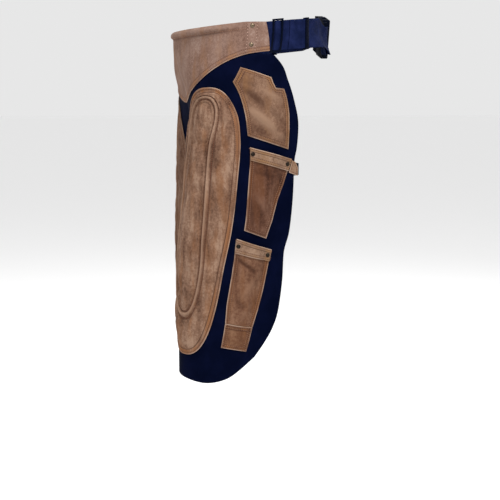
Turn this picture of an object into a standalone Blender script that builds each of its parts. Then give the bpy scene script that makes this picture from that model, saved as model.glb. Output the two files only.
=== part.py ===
"""A farrier's apron in its worn shape: a suede yoke, two black leather leg panels split below the
crotch, padded knee patches, hip patches, tapered tool pockets, leg straps and a webbing belt with a
side-release buckle at the back.

Metres, +Z up, +X the wearer's left, -Y the front. The origin is the middle of the waist ring, at half
the belt's height. All cloth hangs on one surface, worked out from a short table of level sections of
the left half; the right half mirrors it. A piece is outlined on that surface as a cutter draws it flat:
`across` runs round the cloth from the front line of the leg, `girth` runs round it from the centre
front, and `level` is the height. `out` is the distance from the cloth's inner face.
"""
import math
from bisect import bisect_left
from collections import namedtuple
from functools import lru_cache

import bmesh
import bpy
from mathutils import Matrix, Vector

# Thicknesses and gaps
SEAM = 0.0003            # between pieces that meet edge to edge
LAP = 0.00055            # between a piece and what lies on it
KNEE_LAP = 0.0012        # the padded patch is stiffer and lies less closely
BAND_LAP = 0.0009        # between a pocket and its band, which bend more sharply
RIVET_LAP = 0.0008       # under a rivet's flat collar on a rounded face
PANEL = 0.0020           # black leather of the leg panels
SUEDE = 0.0018           # yoke, patches and pockets
WEBBING = 0.0020         # belt and leg straps
ON_PANEL = PANEL + LAP   # inner face of what is sewn on a panel
ON_POCKET = ON_PANEL + SUEDE + BAND_LAP      # inner face of a pocket's band
ON_YOKE = ON_PANEL + SUEDE + RIVET_LAP       # seat of a rivet on the yoke
ON_BAND = ON_POCKET + SUEDE + RIVET_LAP      # seat of a rivet on a band

CURVE_STEPS = 12         # between two points of a smooth outline

# Heights
CROTCH = -0.172          # the panels part here
STEP_BACK = 0.075        # the right leg stands back by this much for each metre below the crotch

# Belt. Its two halves are alike; each runs from behind the yoke to its bar of the buckle, turns round the
# bar and lies back on itself.
BELT_WIDTH = 0.062
BELT_START = 0.257       # girth where the webbing starts behind the yoke
TAIL_END = 0.333         # girth where the turned-back end stops
TAIL_OUT = 0.0034        # middle of the turned-back layer
TAIL_CLOSE = 0.050       # length over which the two layers come together
STRAIGHT_RUN = 0.075     # the taut belt leaves the round of the waist this far before the bar
BELT_STEPS = 13          # from the slider to the buckle, and back to the turned-back end
TURN_STEPS = 8           # round the buckle's bar

# The slider near the yoke, whose middle bar the belt passes over, and the keeper of the turned-back end
SLIDER_BARS = ((0.2922, 0.2962), (0.3022, 0.3062), (0.3122, 0.3162))
SLIDER_SLACK = 0.0012    # between the belt, where it rises, and a bar
SLIDER_RISE = 0.0027     # how much the belt rises over the middle bar
SLIDER_RISE_STEPS = 3
SLIDER_CHEEK = 0.0040
SLIDER_SIDE = 0.0005     # between the belt's edge and a cheek
SLIDER_DEPTH = (0.0003, 0.0051)      # out, of the cheeks
OUTER_BAR_DEPTH = (0.0024, 0.0048)
MIDDLE_BAR_DEPTH = (0.0006, 0.0023)
BAR_INSET = 0.0002       # an outer bar ends this far inside the cheeks' ends
KEEPER = (0.3775, 0.3875)
KEEPER_WALL = 0.0017
KEEPER_SIDE = 0.0006     # between the belt's edge and the keeper
KEEPER_ROOM = (-0.0004, 0.0049)      # out, of the room inside the keeper

# The side-release buckle at the back. It is drawn flat about its own middle, x along the belt, y out
# from the wearer, z up, then skewed and set in place.
BUCKLE_LENGTH = 0.088
BUCKLE_HEIGHT = 0.088
BUCKLE_THICK = 0.017
BUCKLE_INNER = 0.169     # y of its inner face
BUCKLE_DROP = 0.006      # it hangs this much below the ring
BUCKLE_SKEW = math.radians(14.0)
SKEW_REACH = (0.050, 0.105)   # the belt takes up the skew between these distances from the middle
BAR_THICK = 0.0035       # along the belt
BAR_DEEP = 0.0070        # outwards
TURN_RADIUS = 0.0052     # of the belt's middle line round the bar
SOCKET_MOUTH = -0.014    # x where the two halves meet
BODY_END = 0.033         # x where the thick body gives way to the thin end with the bar
END_INSET = 0.004        # the thin end is this much less tall than the body, at top and bottom
SLOT_SIDE = 0.0012       # between the belt's edge and the end of its slot
SOCKET_WALL = 0.003
SOCKET_ROOM = (0.027, 0.038)         # x where the room inside ends, and its half height
WINDOW = (0.001, 0.020)  # x of the finger windows in the socket's edges
WINDOW_FROM = 0.036      # height from which a window is cut
PLUG_INSET = 0.001       # the plug's body is this much smaller all round
PLUG_ROOT = 0.005        # the arms start this far inside the plug's body
PLUG_DEPTH = 0.0042      # y of the arms from either face of the buckle
GUIDE = (0.022, 0.006)   # x of the guide's end, and its half height
ARM_HEIGHTS = (0.022, 0.031)
ARM_END = 0.0165
CATCH_HEIGHTS = (0.028, 0.041)
CATCH_REACH = (0.0030, 0.0160)
CATCH_INSET = 0.0002

# The left half of the surface. Each row is the section at one level: the x of the leg's front line, how
# far the section reaches beyond it to the outer side, the y of its front, the y where it is widest,
# the depth of its rear quarter, the reach of its inner quarter, and the slope of the level towards the
# back, because the waist sits lower in front.
Section = namedtuple("Section", "level line outer front side rear inner tilt")
SECTIONS = [Section(*row) for row in (
    (0.045, 0.000, 0.184, -0.160, 0.000, 0.167, 0.184, 0.104),
    (0.000, 0.000, 0.186, -0.160, 0.000, 0.167, 0.186, 0.104),
    (-0.050, 0.042, 0.148, -0.152, -0.010, 0.185, 0.260, 0.085),
    (-0.100, 0.076, 0.117, -0.141, -0.022, 0.195, 0.400, 0.045),
    (-0.150, 0.095, 0.101, -0.137, -0.033, 0.200, 0.290, 0.012),
    (-0.200, 0.101, 0.096, -0.138, -0.040, 0.200, 0.200, 0.000),
    (-0.260, 0.102, 0.093, -0.143, -0.043, 0.200, 0.137, 0.000),
    (-0.350, 0.103, 0.090, -0.152, -0.047, 0.200, 0.100, 0.000),
    (-0.450, 0.103, 0.088, -0.163, -0.052, 0.190, 0.085, 0.000),
    (-0.550, 0.103, 0.086, -0.168, -0.057, 0.185, 0.078, 0.000),
    (-0.650, 0.103, 0.084, -0.170, -0.060, 0.180, 0.078, 0.000),
    (-0.770, 0.103, 0.084, -0.170, -0.060, 0.180, 0.078, 0.000),
)]

# Lower edge of the yoke from the centre front to its rear end
YokeEdge = namedtuple("YokeEdge", "girth level")
YOKE_EDGE = [YokeEdge(*row) for row in (
    (0.000, -0.1355),
    (0.030, -0.1320),
    (0.065, -0.1230),
    (0.100, -0.1090),
    (0.134, -0.0870),
    (0.156, -0.0715),
    (0.175, -0.0590),
    (0.200, -0.0460),
    (0.223, -0.0375),
    (0.247, -0.0325),
    (0.270, -0.0310),
    (0.291, -0.0305),
)]
YOKE_TOP = 0.035         # level of the yoke's top edge in front
YOKE_END_TOP = 0.0310    # level of its top edge at the rear ends
YOKE_REACH_TOP = 0.278   # girth of the rear end at the top
YOKE_TOP_FALL = 0.85     # the top edge comes down over the last stretch beyond this share
YOKE_COLUMNS = 46
YOKE_LOWER_ROWS = 6

# The rolled hem along the yoke's top: how proud the leather stands at each distance from the edge
Roll = namedtuple("Roll", "down proud")
ROLL = [Roll(*row) for row in (
    (0.000, 0.0008),
    (0.003, 0.0042),
    (0.008, 0.0056),
    (0.012, 0.0040),
    (0.015, 0.0004),
    (0.020, 0.0000),
)]
ROLL_FADE = (0.150, 0.240)   # girth over which the roll flattens towards the sides

# Edges of the left leg panel. The yoke covers its top edge, which stays clear of the belt and slider.
PANEL_TOP = [YokeEdge(*row) for row in (
    (0.000, -0.1235),
    (0.030, -0.1200),
    (0.065, -0.1110),
    (0.100, -0.0970),
    (0.134, -0.0750),
    (0.156, -0.0595),
    (0.175, -0.0470),
    (0.200, -0.0345),
    (0.223, -0.0300),
    (0.247, -0.0320),
    (0.270, -0.0325),
    (0.285, -0.0372),
    (0.300, -0.0375),
)]
Edge = namedtuple("Edge", "across level")
PANEL_REAR = [Edge(*row) for row in (
    (0.285, -0.0370),
    (0.273, -0.0640),
    (0.267, -0.0960),
    (0.268, -0.1370),
    (0.274, -0.1850),
    (0.272, -0.2350),
    (0.268, -0.2650),
    (0.270, -0.3400),
    (0.269, -0.4150),
    (0.260, -0.4600),
    (0.259, -0.5250),
    (0.251, -0.5900),
    (0.238, -0.6270),
    (0.220, -0.6570),
    (0.196, -0.6890),
)]
PANEL_HEM = [Edge(*row) for row in (
    (-0.092, -0.6780),
    (-0.060, -0.7130),
    (-0.015, -0.7320),
    (0.040, -0.7410),
    (0.090, -0.7460),
    (0.131, -0.7370),
    (0.160, -0.7190),
    (0.196, -0.6890),
)]
SEAM_SHARE = 0.08        # of a panel's inner edge that is sewn to the other panel
PANEL_ROWS = 24
PANEL_COLUMNS = 19
PANEL_INNER = [Edge(*row) for row in (
    (-0.100, -0.2300),
    (-0.104, -0.3200),
    (-0.106, -0.4500),
    (-0.106, -0.5600),
    (-0.103, -0.6300),
    (-0.092, -0.6780),
)]

# Knee patch: its axis and the full half widths of the patch and of the sewn oval, at each level
Knee = namedtuple("Knee", "level axis patch oval")
KNEE = [Knee(*row) for row in (
    (-0.100, 0.084, 0.100, 0.060),
    (-0.130, 0.071, 0.101, 0.058),
    (-0.170, 0.057, 0.108, 0.051),
    (-0.220, 0.044, 0.112, 0.042),
    (-0.300, 0.039, 0.105, 0.039),
    (-0.420, 0.039, 0.098, 0.040),
    (-0.500, 0.038, 0.090, 0.045),
    (-0.600, 0.037, 0.086, 0.045),
    (-0.690, 0.037, 0.084, 0.044),
)]
PATCH_SPAN = (-0.1005, -0.6860)
OVAL_SPAN = (-0.1220, -0.5960)
SPINE_SPAN = (-0.1700, -0.5500)
KNEE_ROUND = 0.8         # below 1 squares the ovals off a little
KNEE_POINTS = 40
KNEE_EASE = 0.25         # brings the points closer together at the top and foot of the ovals

# Rings of the knee patch from its edge to its spine: which outline a ring starts from, how far it has
# moved towards the next one, and how far the padding lifts the suede there
Ring = namedtuple("Ring", "zone share lift")
KNEE_RINGS = [Ring(*row) for row in (
    ("patch", 0.00, 0.0000),
    ("patch", 0.15, 0.0006),
    ("patch", 0.29, 0.0042),
    ("patch", 0.50, 0.0062),
    ("patch", 0.72, 0.0060),
    ("patch", 0.88, 0.0026),
    ("oval", 0.00, 0.0056),
    ("oval", 0.13, 0.0026),
    ("oval", 0.34, 0.0066),
    ("oval", 0.65, 0.0076),
    ("oval", 1.00, 0.0080),
)]

# Flat pieces of the left half. Each row joins a point of the inner edge to one of the outer edge.
Strip = namedtuple("Strip", "in_across in_level out_across out_level")
HIP_PATCH = [Strip(*row) for row in (
    (0.1840, -0.0594, 0.2320, -0.0852),
    (0.1650, -0.0760, 0.2300, -0.0972),
    (0.1480, -0.0905, 0.2310, -0.1079),
    (0.1478, -0.0950, 0.2490, -0.1098),
    (0.1494, -0.1187, 0.2497, -0.1310),
    (0.1515, -0.1518, 0.2505, -0.1620),
    (0.1575, -0.2072, 0.2500, -0.2370),
)]
MIDDLE_BAND = [Strip(*row) for row in (
    (0.1629, -0.2312, 0.2590, -0.2578),
    (0.1658, -0.2589, 0.2520, -0.2836),
)]
MIDDLE_POCKET = [Strip(*row) for row in (
    (0.1640, -0.2345, 0.2560, -0.2610),
    (0.1655, -0.2650, 0.2500, -0.2880),
    (0.1650, -0.2960, 0.2440, -0.3100),
    (0.1648, -0.3413, 0.2326, -0.3452),
    (0.1652, -0.3885, 0.2240, -0.3900),
    (0.1641, -0.4096, 0.2145, -0.4285),
)]
LOWER_BAND = [Strip(*row) for row in (
    (0.1493, -0.4267, 0.2284, -0.4529),
    (0.1489, -0.4585, 0.2242, -0.4779),
)]
LOWER_POCKET = [Strip(*row) for row in (
    (0.1485, -0.4300, 0.2265, -0.4560),
    (0.1470, -0.4700, 0.2230, -0.4835),
    (0.1428, -0.5081, 0.2170, -0.5200),
    (0.1380, -0.5420, 0.2110, -0.5500),
    (0.1336, -0.5726, 0.2020, -0.5850),
    (0.1310, -0.6116, 0.1904, -0.6223),
)]
POCKET_FOOT = [Strip(*row) for row in (
    (0.1309, -0.6122, 0.1902, -0.6229),
    (0.1270, -0.6380, 0.1840, -0.6480),
    (0.1220, -0.6653, 0.1764, -0.6755),
)]
STRAP_TAB = [Strip(*row) for row in (
    (0.2610, -0.2612, 0.2690, -0.2640),
    (0.2590, -0.2700, 0.2765, -0.2780),
    (0.2550, -0.2870, 0.2765, -0.2945),
)]
MOUTH_STAND = 0.013      # how far each pocket's mouth stands off the panel
POCKET_FLANGE = 0.13     # share of a pocket's width that lies flat at either side
MIDDLE_FLAT = -0.430     # level at which each pocket lies flat
LOWER_FLAT = -0.660
POCKET_COLUMNS = 11
BAND_COLUMNS = 14
HIP_COLUMNS = 9
HIP_ROW = 0.020          # most that rows of the hip patch lie apart
STRIP_ROW = 0.030        # and of the other flat pieces

# Rivets: two through the yoke over the belt's end, given by girth, and two at the ends of each pocket
# band, given by across; then the level and the face that they sit on
RIVET_PROFILE = ((0.0046, 0.0), (0.0045, 0.0007), (0.0027, 0.0018))      # radius and height
RIVET_SIDES = 10
RIVETS = (
    (0.2495, 0.0255, ON_YOKE),
    (0.2495, -0.0140, ON_YOKE),
    (0.1697, -0.2460, ON_BAND),
    (0.2490, -0.2685, ON_BAND),
    (0.1538, -0.4430, ON_BAND),
    (0.2193, -0.4640, ON_BAND),
)

# Leg strap: its middle line in plan behind the thigh, from the outer rear edge to the inner edge
STRAP_LEVEL = -0.282
STRAP_WIDTH = 0.025
STRAP_STEPS = 26
Plan = namedtuple("Plan", "x y")
STRAP_ROUTE = [Plan(*row) for row in (
    (0.1840, 0.0350),
    (0.1788, 0.0580),
    (0.1650, 0.0800),
    (0.1350, 0.0900),
    (0.0950, 0.0830),
    (0.0550, 0.0580),
    (0.0280, 0.0200),
    (0.0120, -0.0300),
    (0.0065, -0.0700),
    (0.0085, -0.0885),
    (0.0155, -0.0985),
)]

# Colours and finishes
SUEDE_LOOK = ("suede", (0.27, 0.16, 0.10), 0.95, 0.0)
BLACK_LOOK = ("black_leather", (0.004, 0.004, 0.010), 0.75, 0.0)
WEBBING_LOOK = ("webbing", (0.012, 0.014, 0.035), 0.85, 0.0)
PLASTIC_LOOK = ("plastic", (0.006, 0.006, 0.012), 0.40, 0.0)
BRASS_LOOK = ("brass", (0.16, 0.11, 0.05), 0.40, 1.0)

for leftover in list(bpy.data.objects):
    bpy.data.objects.remove(leftover)

apron = bpy.data.collections.new("farrier_apron")
cutters = bpy.data.collections.new("cutters")
bpy.context.scene.collection.children.link(apron)
bpy.context.scene.collection.children.link(cutters)


def material(look):
    """The Principled material of a look, made once."""
    name, colour, roughness, metallic = look
    found = bpy.data.materials.get(name)
    if found:
        return found
    made = bpy.data.materials.new(name)
    made.use_nodes = True
    shader = made.node_tree.nodes["Principled BSDF"]
    shader.inputs["Base Color"].default_value = (*colour, 1.0)
    shader.inputs["Roughness"].default_value = roughness
    shader.inputs["Metallic"].default_value = metallic
    return made


def through(rows, key, where):
    """The row at `where` on the smooth curve through a table's rows, read along the column `key`."""
    places = [getattr(row, key) for row in rows]
    rising = places[-1] > places[0]
    limited = min(max(where, min(places)), max(places))
    last = len(rows) - 1
    start = 0
    while start < last - 1 and (limited > places[start + 1]) == rising and limited != places[start + 1]:
        start += 1
    span = places[start + 1] - places[start]
    share = (limited - places[start]) / span

    def slope(index, column):
        before, after = max(index - 1, 0), min(index + 1, last)
        rise = getattr(rows[after], column) - getattr(rows[before], column)
        return rise / (places[after] - places[before])

    values = {key: limited}
    for column in rows[0]._fields:
        if column == key:
            continue
        low, high = getattr(rows[start], column), getattr(rows[start + 1], column)
        values[column] = (low * (1 + 2 * share) * (1 - share) ** 2
                          + high * share ** 2 * (3 - 2 * share)
                          + slope(start, column) * span * share * (1 - share) ** 2
                          - slope(start + 1, column) * span * share ** 2 * (1 - share))
    return type(rows[0])(**values)


@lru_cache(maxsize=None)
def section_at(level):
    return through(SECTIONS, "level", level)


def on_section(section, angle):
    """Plan point of a section: angle 0 is the front line, 90 degrees the outer side."""
    reach = section.outer if angle >= 0 else section.inner
    depth = section.side - section.front if abs(angle) <= math.pi / 2 else section.rear
    return section.line + reach * math.sin(angle), section.side - depth * math.cos(angle)


@lru_cache(maxsize=None)
def running_lengths(level, direction):
    """Length round the section from the front line, one entry for each degree."""
    section = section_at(level)
    lengths = [0.0]
    here = on_section(section, 0.0)
    for degree in range(1, 179):
        there = on_section(section, math.radians(degree) * direction)
        lengths.append(lengths[-1] + math.dist(here, there))
        here = there
    return lengths


def angle_of(across, level):
    direction = 1 if across >= 0 else -1
    lengths = running_lengths(level, direction)
    high = min(max(bisect_left(lengths, abs(across)), 1), len(lengths) - 1)
    share = (abs(across) - lengths[high - 1]) / (lengths[high] - lengths[high - 1])
    return math.radians(high - 1 + share) * direction


def centre_across(level):
    """`across` of the centre front, where x is 0."""
    section = section_at(level)
    angle = math.degrees(math.asin(section.line / section.inner))
    lengths = running_lengths(level, -1)
    low = int(angle)
    return -(lengths[low] + (lengths[low + 1] - lengths[low]) * (angle - low))


def on_leg(across, level, out, side=1):
    """World point of the cloth's surface on the left (1) or right (-1) leg."""
    level = round(level, 6)
    section = section_at(level)
    angle = angle_of(across, level)
    x, y = on_section(section, angle)
    before, after = on_section(section, angle - 0.001), on_section(section, angle + 0.001)
    run = math.dist(before, after)
    x += (after[1] - before[1]) / run * out
    y -= (after[0] - before[0]) / run * out
    z = level + section.tilt * y
    if side < 0:
        y += STEP_BACK * max(0.0, CROTCH - level)
    return Vector((side * x, y, z))


def on_waist(girth, level, out, side=1):
    """World point round the waist, `girth` from the centre front, positive to the wearer's left."""
    level = round(level, 6)
    half = 1 if girth >= 0 else -1
    point = on_leg(abs(girth) + centre_across(level), level, out, half * side)
    if girth == 0:
        point.x = 0.0
    return point


def curve_point(points, share):
    """Point at `share` of the length of the smooth curve through flat points."""
    if len(points) == 2:
        return tuple(a + (b - a) * share for a, b in zip(*points))
    fine = fine_curve(tuple(tuple(point) for point in points))
    lengths = [0.0]
    for here, there in zip(fine, fine[1:]):
        lengths.append(lengths[-1] + math.dist(here, there))
    target = share * lengths[-1]
    high = min(max(bisect_left(lengths, target), 1), len(lengths) - 1)
    part = (target - lengths[high - 1]) / (lengths[high] - lengths[high - 1])
    return tuple(a + (b - a) * part for a, b in zip(fine[high - 1], fine[high]))


@lru_cache(maxsize=None)
def fine_curve(points):
    """A Catmull-Rom curve through flat points, in short steps."""
    last = len(points) - 1
    fine = []
    for index in range(last):
        a, b = points[max(index - 1, 0)], points[index]
        c, d = points[index + 1], points[min(index + 2, last)]
        for step in range(CURVE_STEPS):
            t = step / CURVE_STEPS
            fine.append(tuple(
                0.5 * (2 * q + (r - p) * t + (2 * p - 5 * q + 4 * r - s) * t ** 2
                       + (3 * q - p - 3 * r + s) * t ** 3)
                for p, q, r, s in zip(a, b, c, d)))
    fine.append(points[-1])
    return fine


def finish_mesh(name, mesh_data, look, smooth_angle=40):
    """Turn a bmesh into an object of the apron."""
    bmesh.ops.remove_doubles(mesh_data, verts=mesh_data.verts, dist=0.00001)
    bmesh.ops.recalc_face_normals(mesh_data, faces=mesh_data.faces)
    mesh = bpy.data.meshes.new(name)
    mesh_data.to_mesh(mesh)
    mesh_data.free()
    mesh.materials.append(material(look))
    mesh.shade_smooth()
    mesh.set_sharp_from_angle(angle=math.radians(smooth_angle))
    made = bpy.data.objects.new(name, mesh)
    apron.objects.link(made)
    return made


def wall(name, outer, inner, look):
    """A closed wall between an outer and an inner grid of points: rows of equal length."""
    mesh_data = bmesh.new()
    faces = []
    grids = [[[mesh_data.verts.new(point) for point in row] for row in grid] for grid in (outer, inner)]
    front, back = grids
    rows, columns = len(outer), len(outer[0])
    for grid in grids:
        for r in range(rows - 1):
            for c in range(columns - 1):
                faces.append((grid[r][c], grid[r][c + 1], grid[r + 1][c + 1], grid[r + 1][c]))
    rim = ([(0, c) for c in range(columns)] + [(r, columns - 1) for r in range(1, rows)]
           + [(rows - 1, c) for c in range(columns - 2, -1, -1)] + [(r, 0) for r in range(rows - 2, 0, -1)])
    for (r, c), (s, d) in zip(rim, rim[1:] + rim[:1]):
        faces.append((front[r][c], front[s][d], back[s][d], back[r][c]))
    for face in faces:
        mesh_data.faces.new(face)
    return finish_mesh(name, mesh_data, look)


def strip_rows(table, most):
    """Rows of a piece with more put in between, none further apart than `most`."""
    rows = [table[0]]
    for here, there in zip(table, table[1:]):
        drop = max(abs(there.in_level - here.in_level), abs(there.out_level - here.out_level))
        count = max(1, math.ceil(drop / most))
        for step in range(1, count + 1):
            rows.append(Strip(*(a + (b - a) * step / count for a, b in zip(here, there))))
    return rows


def strip_piece(name, table, columns, side, inner_out, thickness, most=STRIP_ROW, bulge=None):
    """A flat-cut piece laid on the leg, whose rows are straight from the inner to the outer edge."""
    outer, inner = [], []
    rows = strip_rows(table, most)
    for row in rows:
        outer_row, inner_row = [], []
        for column in range(columns + 1):
            share = column / columns
            across = row.in_across + (row.out_across - row.in_across) * share
            level = row.in_level + (row.out_level - row.in_level) * share
            stand = bulge(across, level) if bulge else 0.0
            inner_row.append(on_leg(across, level, inner_out + stand, side))
            outer_row.append(on_leg(across, level, inner_out + stand + thickness, side))
        outer.append(outer_row)
        inner.append(inner_row)
    return wall(name, outer, inner, SUEDE_LOOK)


def yoke_edge_level(girth):
    return through(YOKE_EDGE, "girth", abs(girth)).level


def roll_lift(girth, down):
    """How proud the yoke's rolled hem stands, `down` below the top edge."""
    start, end = ROLL_FADE
    fade = min(max((end - abs(girth)) / (end - start), 0.0), 1.0)
    return through(ROLL, "down", down).proud * fade


def build_yoke():
    """One piece from the left rear end round the front to the right rear end."""
    outer, inner = [], []
    downs = [row.down for row in ROLL]
    reach_bottom = YOKE_EDGE[-1].girth
    for index in range(len(downs) + YOKE_LOWER_ROWS):
        outer_row, inner_row = [], []
        for column in range(YOKE_COLUMNS + 1):
            place = 2 * column / YOKE_COLUMNS - 1
            bottom = yoke_edge_level(place * reach_bottom)
            fall = max(0.0, abs(place) - YOKE_TOP_FALL) / (1 - YOKE_TOP_FALL)
            top = YOKE_TOP + (YOKE_END_TOP - YOKE_TOP) * fall
            if index < len(downs):
                down = downs[index]
            else:
                share = (index - len(downs) + 1) / YOKE_LOWER_ROWS
                down = downs[-1] + (top - bottom - downs[-1]) * share
            level = top - down
            lean = down / (top - bottom)
            girth = place * (YOKE_REACH_TOP + (reach_bottom - YOKE_REACH_TOP) * lean)
            lift = roll_lift(girth, down) if index < len(downs) else 0.0
            inner_row.append(on_waist(girth, level, ON_PANEL))
            outer_row.append(on_waist(girth, level, ON_PANEL + SUEDE + lift))
        outer.append(outer_row)
        inner.append(inner_row)
    return wall("yoke", outer, inner, SUEDE_LOOK)


def panel_top(share):
    """Top edge of a panel, under the yoke, from the centre seam to the rear edge."""
    girth = SEAM / 2 + (PANEL_TOP[-1].girth - SEAM / 2) * share
    level = through(PANEL_TOP, "girth", girth).level
    return girth + centre_across(level), level


def panel_inner(share):
    """Inner edge of a panel: the centre seam down to the crotch, then the free edge of the leg."""
    seam_top = panel_top(0.0)[1]
    if share <= SEAM_SHARE:
        level = seam_top + (CROTCH - seam_top) * share / SEAM_SHARE
        return SEAM / 2 + centre_across(level), level
    crotch = Edge(SEAM / 2 + centre_across(CROTCH), CROTCH)
    return curve_point([crotch, *PANEL_INNER], (share - SEAM_SHARE) / (1 - SEAM_SHARE))


def build_panel(name, side):
    """Leg panel: a sheet between four edges, filled in evenly on the flat."""
    corners = [panel_top(0.0), panel_top(1.0), tuple(PANEL_HEM[0]), tuple(PANEL_HEM[-1])]
    rear = [panel_top(1.0), *PANEL_REAR[1:]]
    outer, inner = [], []
    for r in range(PANEL_ROWS + 1):
        u = r / PANEL_ROWS
        left, right = panel_inner(u), curve_point(rear, u)
        outer_row, inner_row = [], []
        for c in range(PANEL_COLUMNS + 1):
            v = c / PANEL_COLUMNS
            top, bottom = panel_top(v), curve_point(PANEL_HEM, v)
            across, level = (
                (1 - u) * top[k] + u * bottom[k] + (1 - v) * left[k] + v * right[k]
                - (1 - u) * (1 - v) * corners[0][k] - (1 - u) * v * corners[1][k]
                - u * (1 - v) * corners[2][k] - u * v * corners[3][k]
                for k in (0, 1))
            if c == 0 and level >= CROTCH - 0.000001:
                across = SEAM / 2 + centre_across(level)
            points = [on_leg(across, level, out, side) for out in (0.0, PANEL)]
            if c == 0 and level >= CROTCH - 0.000001:
                for point in points:
                    point.x = side * SEAM / 2
            inner_row.append(points[0])
            outer_row.append(points[1])
        outer.append(outer_row)
        inner.append(inner_row)
    return wall(name, outer, inner, BLACK_LOOK)


def knee_outline(span, column, turn):
    """Point of the patch or oval outline; turn 0 is its top and a quarter turn its outer side."""
    middle, half_height = (span[0] + span[1]) / 2, (span[0] - span[1]) / 2
    turn -= KNEE_EASE * math.sin(2 * turn) / 2
    up = math.copysign(abs(math.cos(turn)) ** KNEE_ROUND, math.cos(turn))
    out = math.copysign(abs(math.sin(turn)) ** KNEE_ROUND, math.sin(turn))
    level = middle + half_height * up
    row = through(KNEE, "level", level)
    return row.axis + getattr(row, column) * out, level


def knee_ring_point(ring, turn):
    oval = knee_outline(OVAL_SPAN, "oval", turn)
    if ring.zone == "patch":
        start, end = knee_outline(PATCH_SPAN, "patch", turn), oval
    else:
        middle, half = sum(SPINE_SPAN) / 2, (SPINE_SPAN[0] - SPINE_SPAN[1]) / 2
        level = middle + half * math.cos(turn)
        start, end = oval, (through(KNEE, "level", level).axis, level)
    return tuple(a + (b - a) * ring.share for a, b in zip(start, end))


def build_knee_patch(name, side):
    """Padded suede oval, in rings from its sewn edge to its spine; plain on the inside."""
    mesh_data = bmesh.new()
    loops = {"outer": [], "inner": []}
    for ring in KNEE_RINGS:
        places = [knee_ring_point(ring, math.tau * i / KNEE_POINTS) for i in range(KNEE_POINTS)]
        seat = PANEL + KNEE_LAP
        loops["inner"].append([on_leg(*place, seat, side) for place in places])
        loops["outer"].append([on_leg(*place, seat + SUEDE + ring.lift, side) for place in places])
    skins = [[[mesh_data.verts.new(point) for point in ring] for ring in rings] for rings in loops.values()]
    bands = [(skin[k], skin[k + 1]) for skin in skins for k in range(len(KNEE_RINGS) - 1)]
    bands.append((skins[0][0], skins[1][0]))
    for here, there in bands:
        for i in range(KNEE_POINTS):
            j = (i + 1) % KNEE_POINTS
            mesh_data.faces.new((here[i], here[j], there[j], there[i]))
    for skin in skins:
        spine = skin[-1]
        half = KNEE_POINTS // 2
        for i in range(1, half):
            spine[KNEE_POINTS - i].co = spine[i].co
    return finish_mesh(name, mesh_data, SUEDE_LOOK)


def pocket_stand(table, foot):
    """How far a pocket stands off the panel: most in the middle of its mouth, nothing at its sides and
    at the level `foot`."""
    top = max(table[0].in_level, table[0].out_level)

    def stand(across, level):
        inner = through(table, "in_level", level).in_across
        outer = through(table, "out_level", level).out_across
        share = (across - inner) / (outer - inner)
        inside = min(max((share - POCKET_FLANGE) / (1 - 2 * POCKET_FLANGE), 0.0), 1.0)
        height = min(max((level - foot) / (top - foot), 0.0), 1.0)
        return MOUTH_STAND * math.sin(math.pi * inside) ** 1.2 * height ** 0.6
    return stand


def ribbon(name, spine, levels, thickness, look):
    """A flat band whose middle line is a list of (place, out) pairs read by `spine`."""
    outer, inner = [], []
    for level in levels:
        points = spine(level)
        outer_row, inner_row = [], []
        for index, point in enumerate(points):
            before, after = points[max(index - 1, 0)], points[min(index + 1, len(points) - 1)]
            along = (after - before).normalized()
            square = Vector((along.y, -along.x, 0.0)).normalized() * thickness / 2
            outer_row.append(point + square)
            inner_row.append(point - square)
        outer.append(outer_row)
        inner.append(inner_row)
    return wall(name, outer, inner, look)


def build_leg_strap(name, side):
    """Webbing from under the panel's rear edge round the back of the thigh to its inner edge."""
    def spine(level):
        step_back = STEP_BACK * (CROTCH - level) if side < 0 else 0.0
        route = [curve_point(STRAP_ROUTE, index / STRAP_STEPS) for index in range(STRAP_STEPS + 1)]
        return [Vector((side * x, y + step_back, level)) for x, y in route]
    levels = (STRAP_LEVEL + STRAP_WIDTH / 2, STRAP_LEVEL - STRAP_WIDTH / 2)
    return ribbon(name, spine, levels, WEBBING, WEBBING_LOOK)


def rivet(name, across, level, out, side, at_waist=False):
    """Domed rivet cap on a short collar, turned about its own axis."""
    place = on_waist if at_waist else on_leg
    seat = place(across, level, out, side)
    axis = (place(across, level, out + 0.01, side) - seat).normalized()
    mesh_data = bmesh.new()
    corners = [mesh_data.verts.new((radius, 0, height)) for radius, height in RIVET_PROFILE]
    edges = [mesh_data.edges.new(pair) for pair in zip(corners, corners[1:])]
    bmesh.ops.spin(mesh_data, geom=corners + edges, cent=(0, 0, 0), axis=(0, 0, 1), angle=math.tau,
                   steps=RIVET_SIDES, use_merge=True)
    bmesh.ops.remove_doubles(mesh_data, verts=mesh_data.verts, dist=0.00001)
    bmesh.ops.holes_fill(mesh_data, edges=mesh_data.edges, sides=RIVET_SIDES)
    made = finish_mesh(name, mesh_data, BRASS_LOOK)
    made.matrix_world = Matrix.Translation(seat) @ axis.to_track_quat("Z", "Y").to_matrix().to_4x4()
    return made


def skewed(point):
    """The belt near the buckle drops a little and takes up the buckle's skew."""
    start, end = SKEW_REACH
    share = min(max((end - abs(point.x)) / (end - start), 0.0), 1.0)
    share = share * share * (3 - 2 * share)
    angle = BUCKLE_SKEW * share
    middle = BUCKLE_INNER * section_at(0.0).tilt
    height = point.z - middle
    return Vector((point.x * math.cos(angle) + height * math.sin(angle), point.y,
                   middle + height * math.cos(angle) - point.x * math.sin(angle) - BUCKLE_DROP * share))


def bar_point():
    """Plan point of the middle of the left half's buckle bar."""
    return Vector((BUCKLE_LENGTH / 2 - BAR_THICK / 2, BUCKLE_INNER + BAR_DEEP / 2))


def girth_at(x):
    """Girth at the back of the waist where the left half's x has come down to a value."""
    low, high = 0.30, 0.56
    for _ in range(40):
        middle = (low + high) / 2
        if on_waist(middle, 0.0, 0.0).x > x:
            low = middle
        else:
            high = middle
    return low


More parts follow.
